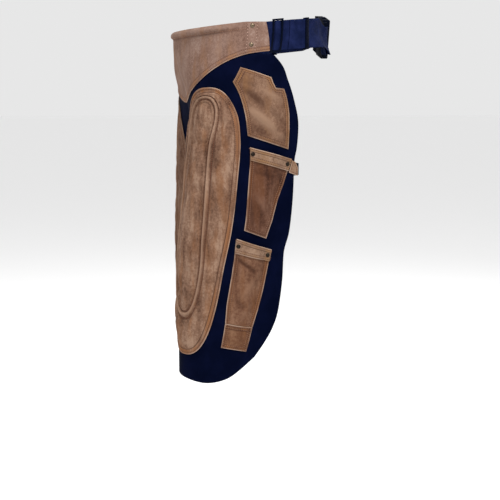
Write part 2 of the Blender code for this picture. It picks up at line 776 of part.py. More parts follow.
def smooth_step(share):
    share = min(max(share, 0.0), 1.0)
    return share * share * (3 - 2 * share)


def strap_out(girth, bar_girth):
    """Middle of the belt's inner layer: over the slider's middle bar, then straight to the buckle."""
    first, middle, last = SLIDER_BARS
    slack = SLIDER_SLACK
    if girth < (middle[0] + middle[1]) / 2:
        rise = smooth_step((girth - first[1] - slack) / (middle[0] - first[1] - 2 * slack))
    else:
        rise = 1 - smooth_step((girth - middle[1] - slack) / (last[0] - middle[1] - 2 * slack))
    arrive = bar_point().y - TURN_RADIUS - on_waist(bar_girth, 0.0, WEBBING / 2).y
    lift = arrive * smooth_step((girth - bar_girth + STRAIGHT_RUN) / STRAIGHT_RUN)
    return WEBBING / 2 + SLIDER_RISE * rise + lift


def build_belt(name, side):
    """Half of the belt as one ribbon: out to the buckle's bar, round it and back."""
    bar = bar_point()
    bar_girth = girth_at(bar.x)
    first, middle, last = SLIDER_BARS
    stations = [BELT_START, (BELT_START + first[0]) / 2]
    for here, there in ((first, middle), (middle, last)):
        start, end = here[1] + SLIDER_SLACK, there[0] - SLIDER_SLACK
        stations += [start + (end - start) * step / SLIDER_RISE_STEPS
                     for step in range(SLIDER_RISE_STEPS + 1)]
    start = last[1] + 0.004
    stations += [start + (bar_girth - start) * step / BELT_STEPS for step in range(BELT_STEPS)]

    def spine(level):
        points = [on_waist(girth, level, strap_out(girth, bar_girth)) for girth in stations]
        height = level + section_at(0.0).tilt * bar.y
        for step in range(TURN_STEPS + 1):
            turn = math.pi * step / TURN_STEPS
            points.append(Vector((bar.x - TURN_RADIUS * math.sin(turn),
                                  bar.y - TURN_RADIUS * math.cos(turn), height)))
        spread = bar.y + TURN_RADIUS - on_waist(bar_girth, 0.0, TAIL_OUT).y
        for step in range(1, BELT_STEPS + 1):
            girth = bar_girth + (TAIL_END - bar_girth) * step / BELT_STEPS
            near = 1 - smooth_step((bar_girth - girth) / TAIL_CLOSE)
            lift = strap_out(girth, bar_girth) - WEBBING / 2
            points.append(on_waist(girth, level, TAIL_OUT + max(lift, spread * near)))
        return [skewed(Vector((side * point.x, point.y, point.z))) for point in points]
    levels = [BELT_WIDTH * share for share in (0.5, 0.17, -0.17, -0.5)]
    return ribbon(name, spine, levels, WEBBING, WEBBING_LOOK)


def bent_box(name, girths, levels, outs, side, look, columns=2):
    """A block that follows the round of the waist."""
    rows = max(1, round(abs(levels[1] - levels[0]) / 0.02))
    heights = [levels[0] + (levels[1] - levels[0]) * r / rows for r in range(rows + 1)]
    grids = []
    for out in (outs[1], outs[0]):
        grids.append([[on_waist(girths[0] + (girths[1] - girths[0]) * c / columns, level, out, side)
                       for c in range(columns + 1)] for level in heights])
    return wall(name, *grids, look)


def block(name, low, high, look, rounding=0.0):
    """A box between two corners, with its edges rounded."""
    mesh_data = bmesh.new()
    bmesh.ops.create_cube(mesh_data, size=1.0)
    for vert in mesh_data.verts:
        vert.co = Vector([a + (b - a) * (c + 0.5) for a, b, c in zip(low, high, vert.co)])
    if rounding:
        bmesh.ops.bevel(mesh_data, geom=mesh_data.edges, offset=rounding, segments=2, profile=0.5,
                        affect="EDGES")
    return finish_mesh(name, mesh_data, look)


def combine(base, pieces, operation):
    """Join pieces to a base, or cut them out of it."""
    for piece in pieces:
        change = base.modifiers.new(piece.name, "BOOLEAN")
        change.operation = operation
        change.object = piece
        apron.objects.unlink(piece)
        cutters.objects.link(piece)
        piece.hide_render = True
        piece.display_type = "WIRE"
    return base


def build_slider(name, side):
    """Three-bar slider. The belt runs behind its outer bars and over the middle one."""
    inner, outer = BELT_WIDTH / 2 + SLIDER_SIDE, BELT_WIDTH / 2 + SLIDER_CHEEK
    middle_of_cheek = (inner + outer) / 2
    girths = (SLIDER_BARS[0][0], SLIDER_BARS[-1][1])
    cheek = bent_box(name, girths, (outer, inner), SLIDER_DEPTH, side, PLASTIC_LOOK, columns=4)
    low_cheek = bent_box(f"{name}_low_cheek", girths, (-inner, -outer), SLIDER_DEPTH, side,
                         PLASTIC_LOOK, columns=4)
    bars = []
    for index, (start, end) in enumerate(SLIDER_BARS):
        outs = MIDDLE_BAR_DEPTH if index == 1 else OUTER_BAR_DEPTH
        bars.append(bent_box(f"{name}_bar_{index}", (start + BAR_INSET, end - BAR_INSET),
                             (middle_of_cheek, -middle_of_cheek), outs, side, PLASTIC_LOOK))
    return combine(cheek, [*bars, low_cheek], "UNION")


def build_keeper(name, side):
    """Flat loop that holds the turned-back end on the belt."""
    inner = BELT_WIDTH / 2 + KEEPER_SIDE
    outer = inner + KEEPER_WALL
    low, high = KEEPER_ROOM
    band = bent_box(name, KEEPER, (outer, -outer), (low - KEEPER_WALL, high + KEEPER_WALL), side,
                    PLASTIC_LOOK)
    past = 0.003
    hole = bent_box(f"{name}_hole", (KEEPER[0] - past, KEEPER[1] + past), (inner, -inner), KEEPER_ROOM,
                    side, PLASTIC_LOOK)
    return combine(band, [hole], "DIFFERENCE")


def place_on_buckle(pieces):
    middle = Vector((0.0, BUCKLE_INNER, section_at(0.0).tilt * BUCKLE_INNER - BUCKLE_DROP))
    for piece in pieces:
        piece.matrix_world = Matrix.Translation(middle) @ Matrix.Rotation(BUCKLE_SKEW, 4, "Y")


def bar_end(name, sign):
    """The thin end of a buckle half, and the cutter for the slot that leaves its bar."""
    far = BUCKLE_LENGTH / 2
    tall = BUCKLE_HEIGHT / 2 - END_INSET
    spans = [(BODY_END - 0.004, far), (BODY_END + 0.0006, far - BAR_THICK)]
    spans = [sorted((sign * a, sign * b)) for a, b in spans]
    end = block(f"{name}_end", (spans[0][0], 0.0, -tall), (spans[0][1], BAR_DEEP, tall), PLASTIC_LOOK, 0.0006)
    gap = BELT_WIDTH / 2 + SLOT_SIDE
    slot = block(f"{name}_slot", (spans[1][0], -0.01, -gap), (spans[1][1], 0.03, gap), PLASTIC_LOOK)
    return end, slot


def build_socket():
    """Left half of the buckle: a hollow body open towards the plug, with a window at either edge."""
    name = "buckle_socket"
    tall = BUCKLE_HEIGHT / 2
    near, far = SOCKET_WALL, BUCKLE_THICK - SOCKET_WALL
    body = block(name, (SOCKET_MOUTH, 0.0, -tall), (BODY_END, BUCKLE_THICK, tall), PLASTIC_LOOK, 0.0025)
    end, slot = bar_end(name, 1)
    room_end, room_tall = SOCKET_ROOM
    room = block(f"{name}_room", (SOCKET_MOUTH - 0.01, near, -room_tall), (room_end, far, room_tall),
                 PLASTIC_LOOK)
    windows = [block(f"{name}_window_{index}", (WINDOW[0], near, low), (WINDOW[1], far, high), PLASTIC_LOOK)
               for index, (low, high) in enumerate(((WINDOW_FROM, 2 * tall), (-2 * tall, -WINDOW_FROM)))]
    combine(body, [end], "UNION")
    combine(body, [slot, room, *windows], "DIFFERENCE")
    place_on_buckle([body, end, slot, room, *windows])


def build_plug():
    """Right half of the buckle: a base with two sprung arms and a guide that fill the socket."""
    name = "buckle_plug"
    tall = BUCKLE_HEIGHT / 2 - 2 * PLUG_INSET
    base = block(name, (-BODY_END, PLUG_INSET, -tall), (SOCKET_MOUTH - SEAM, BUCKLE_THICK - PLUG_INSET, tall),
                 PLASTIC_LOOK, 0.0020)
    end, slot = bar_end(name, -1)
    root, near, far = SOCKET_MOUTH - PLUG_ROOT, PLUG_DEPTH, BUCKLE_THICK - PLUG_DEPTH
    guide_end, guide_tall = GUIDE
    guide = block(f"{name}_guide", (root, near, -guide_tall), (guide_end, far, guide_tall), PLASTIC_LOOK)
    arms = []
    for index, sign in enumerate((1, -1)):
        low, high = sorted(sign * height for height in ARM_HEIGHTS)
        arms.append(block(f"{name}_arm_{index}", (root, near, low), (ARM_END, far, high), PLASTIC_LOOK))
        low, high = sorted(sign * height for height in CATCH_HEIGHTS)
        arms.append(block(f"{name}_catch_{index}", (CATCH_REACH[0], near + CATCH_INSET, low),
                          (CATCH_REACH[1], far - CATCH_INSET, high), PLASTIC_LOOK))
    combine(base, [end, guide, *arms], "UNION")
    combine(base, [slot], "DIFFERENCE")
    place_on_buckle([base, end, slot, guide, *arms])


build_yoke()
build_socket()
build_plug()
for side_name, side in (("left", 1), ("right", -1)):
    build_panel(f"{side_name}_panel", side)
    build_knee_patch(f"{side_name}_knee_patch", side)
    strip_piece(f"{side_name}_hip_patch", HIP_PATCH, HIP_COLUMNS, side, ON_PANEL, SUEDE, most=HIP_ROW)
    strip_piece(f"{side_name}_strap_tab", STRAP_TAB, 2, side, ON_PANEL, SUEDE)
    build_leg_strap(f"{side_name}_leg_strap", side)
    middle = pocket_stand(MIDDLE_POCKET, MIDDLE_FLAT)
    lower = pocket_stand(LOWER_POCKET + POCKET_FOOT[1:], LOWER_FLAT)
    for piece, table, columns, seat, bulge in (
            ("middle_pocket", MIDDLE_POCKET, POCKET_COLUMNS, ON_PANEL, middle),
            ("middle_band", MIDDLE_BAND, BAND_COLUMNS, ON_POCKET, middle),
            ("lower_pocket", LOWER_POCKET, POCKET_COLUMNS, ON_PANEL, lower),
            ("lower_band", LOWER_BAND, BAND_COLUMNS, ON_POCKET, lower),
            ("pocket_foot", POCKET_FOOT, POCKET_COLUMNS, ON_PANEL, lower)):
        strip_piece(f"{side_name}_{piece}", table, columns, side, seat, SUEDE, bulge=bulge)
    build_belt(f"{side_name}_belt", side)
    build_slider(f"{side_name}_slider", side)
    build_keeper(f"{side_name}_keeper", side)
    for index, (place, level, out) in enumerate(RIVETS):
        rivet(f"{side_name}_rivet_{index + 1}", place, level, out, side, at_waist=index < 2)
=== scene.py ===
# %% [markdown]
# A farrier's apron is heavy leatherwork: a deep suede yoke round the waist, two black leather panels
# that hang from it and part at the crotch, and suede sewn on top of them where the work rubs.
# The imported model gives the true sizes. Here each leather piece is cut again as a fine shell on the
# same worn surface, because that lets one rule place the leather, its creases and every stitch.

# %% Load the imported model
import math
from collections import namedtuple

import bmesh
import bpy
import numpy as np
from mathutils import Matrix, Vector


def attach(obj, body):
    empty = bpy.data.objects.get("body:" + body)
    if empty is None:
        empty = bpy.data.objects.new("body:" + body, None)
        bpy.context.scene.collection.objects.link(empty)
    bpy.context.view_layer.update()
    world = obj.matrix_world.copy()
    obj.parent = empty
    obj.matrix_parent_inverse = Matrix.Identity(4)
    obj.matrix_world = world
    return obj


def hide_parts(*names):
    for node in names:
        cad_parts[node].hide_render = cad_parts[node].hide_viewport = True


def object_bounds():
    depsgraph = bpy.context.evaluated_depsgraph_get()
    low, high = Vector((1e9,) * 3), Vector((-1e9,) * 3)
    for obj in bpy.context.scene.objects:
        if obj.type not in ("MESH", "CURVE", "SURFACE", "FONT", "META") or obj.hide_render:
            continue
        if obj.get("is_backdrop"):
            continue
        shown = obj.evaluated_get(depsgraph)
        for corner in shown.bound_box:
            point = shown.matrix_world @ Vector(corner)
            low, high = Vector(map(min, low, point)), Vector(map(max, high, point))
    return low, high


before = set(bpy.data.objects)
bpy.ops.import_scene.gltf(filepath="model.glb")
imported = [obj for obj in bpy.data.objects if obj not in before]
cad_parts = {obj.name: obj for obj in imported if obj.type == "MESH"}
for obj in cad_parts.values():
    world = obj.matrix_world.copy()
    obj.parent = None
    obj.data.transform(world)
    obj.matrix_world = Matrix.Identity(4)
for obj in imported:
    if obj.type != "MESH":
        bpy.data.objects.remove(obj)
cad_box = [list(corner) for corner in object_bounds()]
print("CAD box, metres:", [[round(value, 4) for value in corner] for corner in cad_box])


def put(name, data):
    """A new object with this data, in the scene."""
    made = bpy.data.objects.new(name, data)
    bpy.context.scene.collection.objects.link(made)
    return made


# %% [markdown]
# The camera stands 2.6 m from the apron's left side and a little below the belt, with a long lens
# that keeps the upright lines straight. It comes first, so that every later choice can be judged in
# the frame that the apron is seen in.

# %% Camera
VIEW_TURN = math.radians(79.0)
CAMERA_REACH = 2.60
CAMERA_SLIDE = 0.009
CAMERA_HEIGHT = -0.131
AIM = Vector((0.0017, 0.0088, -0.478))
FIELD = math.radians(25.0)

camera = put("camera", bpy.data.cameras.new("camera"))
camera.location = (CAMERA_REACH * math.sin(VIEW_TURN) + CAMERA_SLIDE * math.cos(VIEW_TURN),
                   CAMERA_SLIDE * math.sin(VIEW_TURN) - CAMERA_REACH * math.cos(VIEW_TURN),
                   CAMERA_HEIGHT)
camera.rotation_euler = (AIM - camera.location).to_track_quat("-Z", "Y").to_euler()
camera.data.sensor_width = 36.0
camera.data.lens = camera.data.sensor_width / (2 * math.tan(FIELD / 2))
bpy.context.scene.camera = camera

# %% [markdown]
# A pale floor and soft light from large area lamps show suede best: hard light would turn its nap
# into noise. The white world fills the shadows, so the near-black leather keeps its shape.

# %% Floor and lights
FLOOR_LEVEL = -1.06
FLOOR_REACH = 60.0
FLOOR_GREY = 0.98
LAMP_AIM = Vector((0.0, 0.0, -0.35))
WORLD_STRENGTH = 0.80

floor_data = bmesh.new()
bmesh.ops.create_grid(floor_data, x_segments=1, y_segments=1, size=FLOOR_REACH)
floor_mesh = bpy.data.meshes.new("floor")
floor_data.to_mesh(floor_mesh)
floor_data.free()
floor_mesh.transform(Matrix.Translation((0, 0, FLOOR_LEVEL)))
floor = put("floor", floor_mesh)
floor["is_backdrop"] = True


def lamp(name, turn, lift, reach, size, power):
    """A square area lamp round the apron, aimed at its middle."""
    made = put(name, bpy.data.lights.new(name, "AREA"))
    made.data.size = size
    made.data.energy = power
    turn, lift = math.radians(turn), math.radians(lift)
    place = Vector((math.sin(turn) * math.cos(lift), -math.cos(turn) * math.cos(lift), math.sin(lift)))
    made.location = LAMP_AIM + place * reach
    made.rotation_euler = (-place).to_track_quat("-Z", "Y").to_euler()


for row in (("key", 102, 54, 2.6, 0.8, 84), ("fill", 40, 20, 2.9, 1.8, 27),
            ("front", -40, 25, 2.8, 1.4, 14), ("back", 215, 35, 2.8, 1.6, 24)):
    lamp(*row)

world = bpy.data.worlds.new("studio")
world.use_nodes = True
world.node_tree.nodes["Background"].inputs["Color"].default_value = (1, 1, 1, 1)
world.node_tree.nodes["Background"].inputs["Strength"].default_value = WORLD_STRENGTH
bpy.context.scene.world = world
bpy.context.scene.view_settings.view_transform = "Standard"

# %% [markdown]
# All the leather hangs on one surface. A table gives the level sections of the left half: where the
# leg's front line is, how far the section reaches outwards and inwards, and how deep it is. Between
# the rows a smooth curve is read. The right half mirrors the left and stands a little further back.

# %% The worn surface
CROTCH = -0.172
STEP_BACK = 0.075
POINTS_AT_ONCE = 20000
Section = namedtuple("Section", "level line outer front side rear inner tilt")
SECTIONS = [Section(*row) for row in (
    (0.045, 0.000, 0.184, -0.160, 0.000, 0.167, 0.184, 0.104),
    (0.000, 0.000, 0.186, -0.160, 0.000, 0.167, 0.186, 0.104),
    (-0.050, 0.042, 0.148, -0.152, -0.010, 0.185, 0.260, 0.085),
    (-0.100, 0.076, 0.117, -0.141, -0.022, 0.195, 0.400, 0.045),
    (-0.150, 0.095, 0.101, -0.137, -0.033, 0.200, 0.290, 0.012),
    (-0.200, 0.101, 0.096, -0.138, -0.040, 0.200, 0.200, 0.000),
    (-0.260, 0.102, 0.093, -0.143, -0.043, 0.200, 0.137, 0.000),
    (-0.350, 0.103, 0.090, -0.152, -0.047, 0.200, 0.100, 0.000),
    (-0.450, 0.103, 0.088, -0.163, -0.052, 0.190, 0.085, 0.000),
    (-0.550, 0.103, 0.086, -0.168, -0.057, 0.185, 0.078, 0.000),
    (-0.650, 0.103, 0.084, -0.170, -0.060, 0.180, 0.078, 0.000),
    (-0.770, 0.103, 0.084, -0.170, -0.060, 0.180, 0.078, 0.000),
)]


def through(rows, key, where):
    """The smooth curve through a table's rows, read along the column `key` at an array of places."""
    fields = rows[0]._fields
    table = np.array(rows, float)
    place = table[:, fields.index(key)]
    if place[0] > place[-1]:
        table, place = table[::-1], place[::-1]
    where = np.clip(np.asarray(where, float), place[0], place[-1])
    start = np.clip(np.searchsorted(place, where, side="right") - 1, 0, len(place) - 2)
    index = np.arange(len(place))
    before, after = np.maximum(index - 1, 0), np.minimum(index + 1, len(place) - 1)
    slope = (table[after] - table[before]) / (place[after] - place[before])[:, None]
    span = (place[start + 1] - place[start])[..., None]
    share = (where - place[start])[..., None] / span
    values = (table[start] * (1 + 2 * share) * (1 - share) ** 2
              + table[start + 1] * share ** 2 * (3 - 2 * share)
              + slope[start] * span * share * (1 - share) ** 2
              - slope[start + 1] * span * share ** 2 * (1 - share))
    return type(rows[0])(*np.moveaxis(values, -1, 0))


def on_section(section, angle):
    """Plan point of a section: angle 0 is the front line, a quarter turn the outer side."""
    reach = np.where(angle >= 0, section.outer, section.inner)
    depth = np.where(np.abs(angle) <= math.pi / 2, section.side - section.front, section.rear)
    return section.line + reach * np.sin(angle), section.side - depth * np.cos(angle)


def running_lengths(level, way):
    """Length round each section from its front line, one column for each degree."""
    section = through(SECTIONS, "level", level)
    turns = np.radians(np.arange(179)) * way[:, None]
    x, y = on_section(Section(*(column[:, None] for column in section)), turns)
    steps = np.hypot(np.diff(x, axis=1), np.diff(y, axis=1))
    return np.concatenate([np.zeros((len(x), 1)), np.cumsum(steps, axis=1)], axis=1)


def angle_of(across, level):
    """Angle on each section at a length `across` from its front line."""
    way = np.where(across >= 0, 1.0, -1.0)
    lengths = running_lengths(level, way)
    target = np.abs(across)
    low = np.clip((lengths <= target[:, None]).sum(axis=1) - 1, 0, lengths.shape[1] - 2)
    here = lengths[np.arange(len(low)), low]
    there = lengths[np.arange(len(low)), low + 1]
    return np.radians(low + (target - here) / (there - here)) * way


def centre_across(level):
    """`across` of the centre front, where x is 0."""
    level = np.asarray(level, float)
    flat = level.ravel()
    section = through(SECTIONS, "level", flat)
    degrees = np.degrees(np.arcsin(np.minimum(section.line / section.inner, 1.0)))
    lengths = running_lengths(flat, np.full(len(flat), -1.0))
    low = degrees.astype(int)
    here, there = lengths[np.arange(len(low)), low], lengths[np.arange(len(low)), low + 1]
    return -(here + (there - here) * (degrees - low)).reshape(level.shape)


def on_leg(across, level, out=0.0, side=1):
    """World points of the cloth's surface on the left (1) or right (-1) leg, `out` from its inside."""
    across, level, out, side = (a.astype(float) for a in np.broadcast_arrays(across, level, out, side))
    shape = across.shape
    across, level, out, side = (a.ravel() for a in (across, level, out, side))
    points = np.empty((len(across), 3))
    for start in range(0, len(across), POINTS_AT_ONCE):
        part = slice(start, start + POINTS_AT_ONCE)
        section = through(SECTIONS, "level", level[part])
        angle = angle_of(across[part], level[part])
        x, y = on_section(section, angle)
        (x0, y0), (x1, y1) = (on_section(section, angle + step) for step in (-0.001, 0.001))
        run = np.hypot(x1 - x0, y1 - y0)
        x = x + (y1 - y0) / run * out[part]
        y = y - (x1 - x0) / run * out[part]
        z = level[part] + section.tilt * y
        y = y + np.where(side[part] < 0, STEP_BACK * np.maximum(0.0, CROTCH - level[part]), 0.0)
        points[part] = np.stack([side[part] * x, y, z], axis=1)
    return points.reshape(*shape, 3)


def on_waist(girth, level, out=0.0, side=1):
    """World points round the waist, `girth` from the centre front, positive to the left."""
    girth, level, out = np.broadcast_arrays(girth, level, out)
    half = np.where(girth >= 0, 1, -1)
    return on_leg(np.abs(girth) + centre_across(level), level, out, half * side)


print("outer hip, metres:", on_leg(0.2, -0.1).round(3), "waist at the back:", on_waist(0.5, 0.0).round(3))

# %% [markdown]
# Leather that has been worn isn't even: it dips and swells where it has been bent. Each crease is
# one row: where it runs from and to on the flat piece, how broad it is and how far it rises or sinks.
# The leg panels and all that is sewn on them share one table, so that nothing parts or cuts in.

# %% Creases of the worn leather
Crease = namedtuple("Crease", "across level to_across to_level width rise")
PANEL_CREASES = [Crease(*row) for row in (
    (0.206, -0.080, 0.262, -0.150, 0.0100, 0.0011),
    (0.215, -0.040, 0.275, -0.100, 0.0080, -0.0008),
    (0.262, -0.190, 0.200, -0.222, 0.0090, 0.0013),
    (0.268, -0.235, 0.215, -0.300, 0.0110, -0.0009),
    (0.262, -0.375, 0.205, -0.400, 0.0120, 0.0014),
    (0.255, -0.470, 0.225, -0.560, 0.0100, 0.0011),
    (0.236, -0.600, 0.150, -0.690, 0.0130, 0.0012),
    (0.110, -0.735, 0.020, -0.705, 0.0140, 0.0010),
    (-0.090, -0.260, -0.030, -0.180, 0.0100, 0.0012),
    (-0.100, -0.400, -0.050, -0.360, 0.0110, -0.0009),
    (-0.098, -0.560, -0.050, -0.500, 0.0120, 0.0012),
    (0.110, -0.110, 0.150, -0.170, 0.0090, -0.0007),
    (0.125, -0.420, 0.132, -0.520, 0.0080, 0.0009),
)]


def crease_rise(table, across, level):
    """Sum of soft ridges and troughs, each fading towards its ends."""
    total = np.zeros(np.broadcast(across, level).shape)
    for crease in table:
        along = np.array([crease.to_across - crease.across, crease.to_level - crease.level])
        length = np.hypot(*along)
        along /= length
        a, b = across - crease.across, level - crease.level
        place = (a * along[0] + b * along[1]) / length
        off = b * along[0] - a * along[1]
        fade = np.clip(np.sin(np.clip(place * 0.9 + 0.05, 0, 1) * math.pi), 0, 1) ** 0.8
        within = (place > -0.05) & (place < 1.05)
        total += np.where(within, crease.rise * fade * np.exp(-(off / crease.width) ** 2), 0.0)
    return total


# Rise at which the painted shade in a dip or the painted highlight on a ridge is full.
FULL_SHADE_RISE = 0.0022


def shade_by_rise(rise, strength=1.0):
    """Painted shade in dips and a painted highlight on ridges, from a rise in metres."""
    return strength * np.clip(rise / FULL_SHADE_RISE, -1.0, 1.0)


def panel_rise(across, level):
    return crease_rise(PANEL_CREASES, across, level)


# %% [markdown]
# Every flat piece becomes a closed shell: an outer and an inner skin on a fine grid, joined round a
# slightly rounded cut edge. The shell carries its flat pattern as a UV map in metres, and the
# distance to its sewn edge as an attribute, which the suede's material reads for borders. A second
# attribute carries painted light: painted shade in dips, a painted highlight on ridges, and darker
# seam lines.

# %% Shells from flat pieces
EDGE_ROUND = 0.0004
FAR_FROM_EDGE = 0.2
MERGE = 0.000005


def link_mesh(name, points, quads, flat, **masks):
    """A closed mesh from points and quads, with its UV map `cloth` and an attribute for each mask."""
    mesh = bpy.data.meshes.new(name)
    mesh.from_pydata(points.tolist(), [], quads.tolist())
    layer = mesh.uv_layers.new(name="cloth")
    corner_verts = np.empty(len(mesh.loops), np.int32)
    mesh.loops.foreach_get("vertex_index", corner_verts)
    layer.data.foreach_set("uv", flat[corner_verts].ravel())
    for key, values in masks.items():
        mesh.attributes.new(key, "FLOAT", "POINT").data.foreach_set("value", values.astype(np.float32))
    work = bmesh.new()
    work.from_mesh(mesh)
    bmesh.ops.remove_doubles(work, verts=work.verts, dist=MERGE)
    bmesh.ops.recalc_face_normals(work, faces=work.faces)
    work.to_mesh(mesh)
    work.free()
    mesh.shade_smooth()
    return put(name, mesh)


def drawn_in(values, distance):
    """A grid of flat points whose rim is drawn in by a distance."""
    values = values.copy()
    for axis in (0, 1):
        for rim, near in ((0, 1), (-1, -2)):
            edge = [slice(None), slice(None)]
            inner = [slice(None), slice(None)]
            edge[axis], inner[axis] = rim, near
            step = values[tuple(inner)] - values[tuple(edge)]
            size = np.maximum(np.linalg.norm(step, axis=-1, keepdims=True), 1e-9)
            values[tuple(edge)] += step / size * np.minimum(distance, 0.45 * size)
    return values


def grid_quads(grid):
    """Quads over a grid of point numbers."""
    return np.stack([grid[:-1, :-1], grid[:-1, 1:], grid[1:, 1:], grid[1:, :-1]], axis=-1).reshape(-1, 4)


def rim_of(rows, columns):
    """Grid indices once round the rim."""
    top = [(0, c) for c in range(columns)]
    right = [(r, columns - 1) for r in range(1, rows)]
    foot = [(rows - 1, c) for c in range(columns - 2, -1, -1)]
    left = [(r, 0) for r in range(rows - 2, 0, -1)]
    return np.array(top + right + foot + left)


def shell(name, flat, place, inner_out, outer_out, edge=None, wear=None):
    """A closed shell over a grid of flat points. `place` turns flat points and `out` into world points;
    inner_out and outer_out give the two skins at flat points. The last argument gives painted light
    and darker seams: -1 for painted shade in a dip or a darker seam line, 1 for a painted highlight
    on a ridge."""
    rows, columns = flat.shape[:2]
    inset = drawn_in(flat, EDGE_ROUND)
    rim = rim_of(rows, columns)
    rim_flat = flat[rim[:, 0], rim[:, 1]]
    outer = place(inset, outer_out(inset))
    inner = place(inset, inner_out(inset))
    upper = place(rim_flat, outer_out(rim_flat) - EDGE_ROUND)
    lower = place(rim_flat, inner_out(rim_flat) + EDGE_ROUND)
    points = np.concatenate([outer.reshape(-1, 3), upper, lower, inner.reshape(-1, 3)])
    flats = np.concatenate([inset.reshape(-1, 2), rim_flat, rim_flat, inset.reshape(-1, 2)])
    count = rows * columns
    grid = np.arange(count).reshape(rows, columns)
    quads, loop = grid_quads(grid), grid[rim[:, 0], rim[:, 1]]
    first_inner = count + 2 * len(rim)
    loops = [loop, count + np.arange(len(rim)), count + len(rim) + np.arange(len(rim)), first_inner + loop]
    strips = [np.stack([a, b, np.roll(b, -1), np.roll(a, -1)], axis=-1) for a, b in zip(loops, loops[1:])]
    faces = np.concatenate([quads, quads[:, ::-1] + first_inner, *strips])
    distance = np.full(len(flats), FAR_FROM_EDGE) if edge is None else distance_to(edge, flats)
    # Painted shade, painted highlight and darker seam lines, read by the suede's material.
    light_and_seam_values = np.zeros(len(flats)) if wear is None else wear(flats)
    flesh = (np.arange(len(flats)) >= count + len(rim)).astype(float)
    return link_mesh(name, points, faces, flats, edge=distance, wear=light_and_seam_values, flesh=flesh)


def distance_to(path, flats):
    """Shortest distance on the flat from each point to any stretch of a path (a list of open lines)."""
    best = np.full(len(flats), FAR_FROM_EDGE)
    for line in path:
        line = np.asarray(line, float)
        for here, there in zip(line, line[1:]):
            run = there - here
            size = max(float(run @ run), 1e-12)
            share = np.clip(((flats - here) @ run) / size, 0, 1)
            best = np.minimum(best, np.linalg.norm(flats - here - share[:, None] * run, axis=1))
    return best


def leg_place(side, rise=panel_rise):
    """Turns flat points on a leg into world points, carried by the panel's own creases."""
    def place(flat, out):
        across, level = flat[..., 0], flat[..., 1]
        return on_leg(across, level, out + (rise(across, level) if rise else 0.0), side)
    return place


def fine_curve(points, steps=12):
    """A Catmull-Rom curve through flat points."""
    points = np.asarray(points, float)
    padded = np.concatenate([points[:1], points, points[-1:]])
    fine = []
    for a, b, c, d in zip(padded, padded[1:], padded[2:], padded[3:]):
        for step in range(steps):
            t = step / steps
            fine.append(0.5 * (2 * b + (c - a) * t + (2 * a - 5 * b + 4 * c - d) * t ** 2
                               + (3 * b - a - 3 * c + d) * t ** 3))
    fine.append(points[-1])
    return np.array(fine)


def spread_on(line, shares):
    """Points at shares of a line's length."""
    line = np.asarray(line, float)
    lengths = np.concatenate([[0], np.cumsum(np.linalg.norm(np.diff(line, axis=0), axis=1))])
    target = np.asarray(shares) * lengths[-1]
    return np.stack([np.interp(target, lengths, line[:, k]) for k in range(line.shape[1])], axis=-1)


# %% [markdown]
# Suede is leather with the flesh side out. Light catches its nap in soft patches, so no two spots
# have one colour: broad clouds where it was rubbed, finer mottling, and streaks along the hide. The
# sewn borders are more orange, where the dye was pressed in, and the cut edges are pale and raw.
# A node group makes these masks once, and each suede piece sets its own colours in it.

# %% Node helpers


def new_group(name, kind, inputs, outputs):
    """A node group with sockets, each a (name, kind) or (name, kind, value). Also returns its inputs."""
    tree = bpy.data.node_groups.new(name, kind)
    for way, sockets in (("INPUT", inputs), ("OUTPUT", outputs)):
        for socket_name, socket_kind, *value in sockets:
            socket = tree.interface.new_socket(name=socket_name, in_out=way,
                                               socket_type=f"NodeSocket{socket_kind}")
            if value:
                socket.default_value = value[0]
    return tree, tree.nodes.new("NodeGroupInput").outputs


def add(tree, kind, inputs=None, **settings):
    """A node with its settings, and its inputs given as values or as sockets to link."""
    node = tree.nodes.new(kind)
    for key, value in settings.items():
        setattr(node, key, value)
    for key, value in (inputs or {}).items():
        if isinstance(value, bpy.types.NodeSocket):
            tree.links.new(value, node.inputs[key])
        else:
            node.inputs[key].default_value = value
    return node


def maths(tree, operation, a, b=0.0, clamp=False):
    return add(tree, "ShaderNodeMath", {0: a, 1: b}, operation=operation, use_clamp=clamp).outputs[0]


def scaled(tree, value, by, plus=0.0):
    """value * by + plus"""
    return add(tree, "ShaderNodeMath", {0: value, 1: by, 2: plus}, operation="MULTIPLY_ADD").outputs[0]


def attribute(tree, name):
    return add(tree, "ShaderNodeAttribute", attribute_name=name, attribute_type="GEOMETRY").outputs["Fac"]


def blend(tree, share, a, b, mode="MIX"):
    node = add(tree, "ShaderNodeMix", {0: share}, data_type="RGBA", blend_type=mode)
    for index, value in ((6, a), (7, b)):
        if isinstance(value, bpy.types.NodeSocket):
            tree.links.new(value, node.inputs[index])
        else:
            node.inputs[index].default_value = value
    return node.outputs[2]


def ramp(tree, value, low, high):
    """0 below low, 1 above high, and smooth between them."""
    return add(tree, "ShaderNodeMapRange", {"Value": value, "From Min": low, "From Max": high},
               interpolation_type="SMOOTHSTEP").outputs["Result"]


def noise(tree, vector, scale, detail=3.0, roughness=0.55):
    return add(tree, "ShaderNodeTexNoise", {"Vector": vector, "Scale": scale, "Detail": detail,
                                            "Roughness": roughness}).outputs["Fac"]


LAMPLIGHT = 1.95


def colour(red, green, blue):
    """Surface colour that shows as these 0 to 255 values. The lamps light a white card to LAMPLIGHT
    times what a screen can show, so the surface itself is that much darker."""
    return tuple((((value / 255 + 0.055) / 1.055) ** 2.4 if value > 10 else value / 255 / 12.92) / LAMPLIGHT
                 for value in (red, green, blue)) + (1.0,)


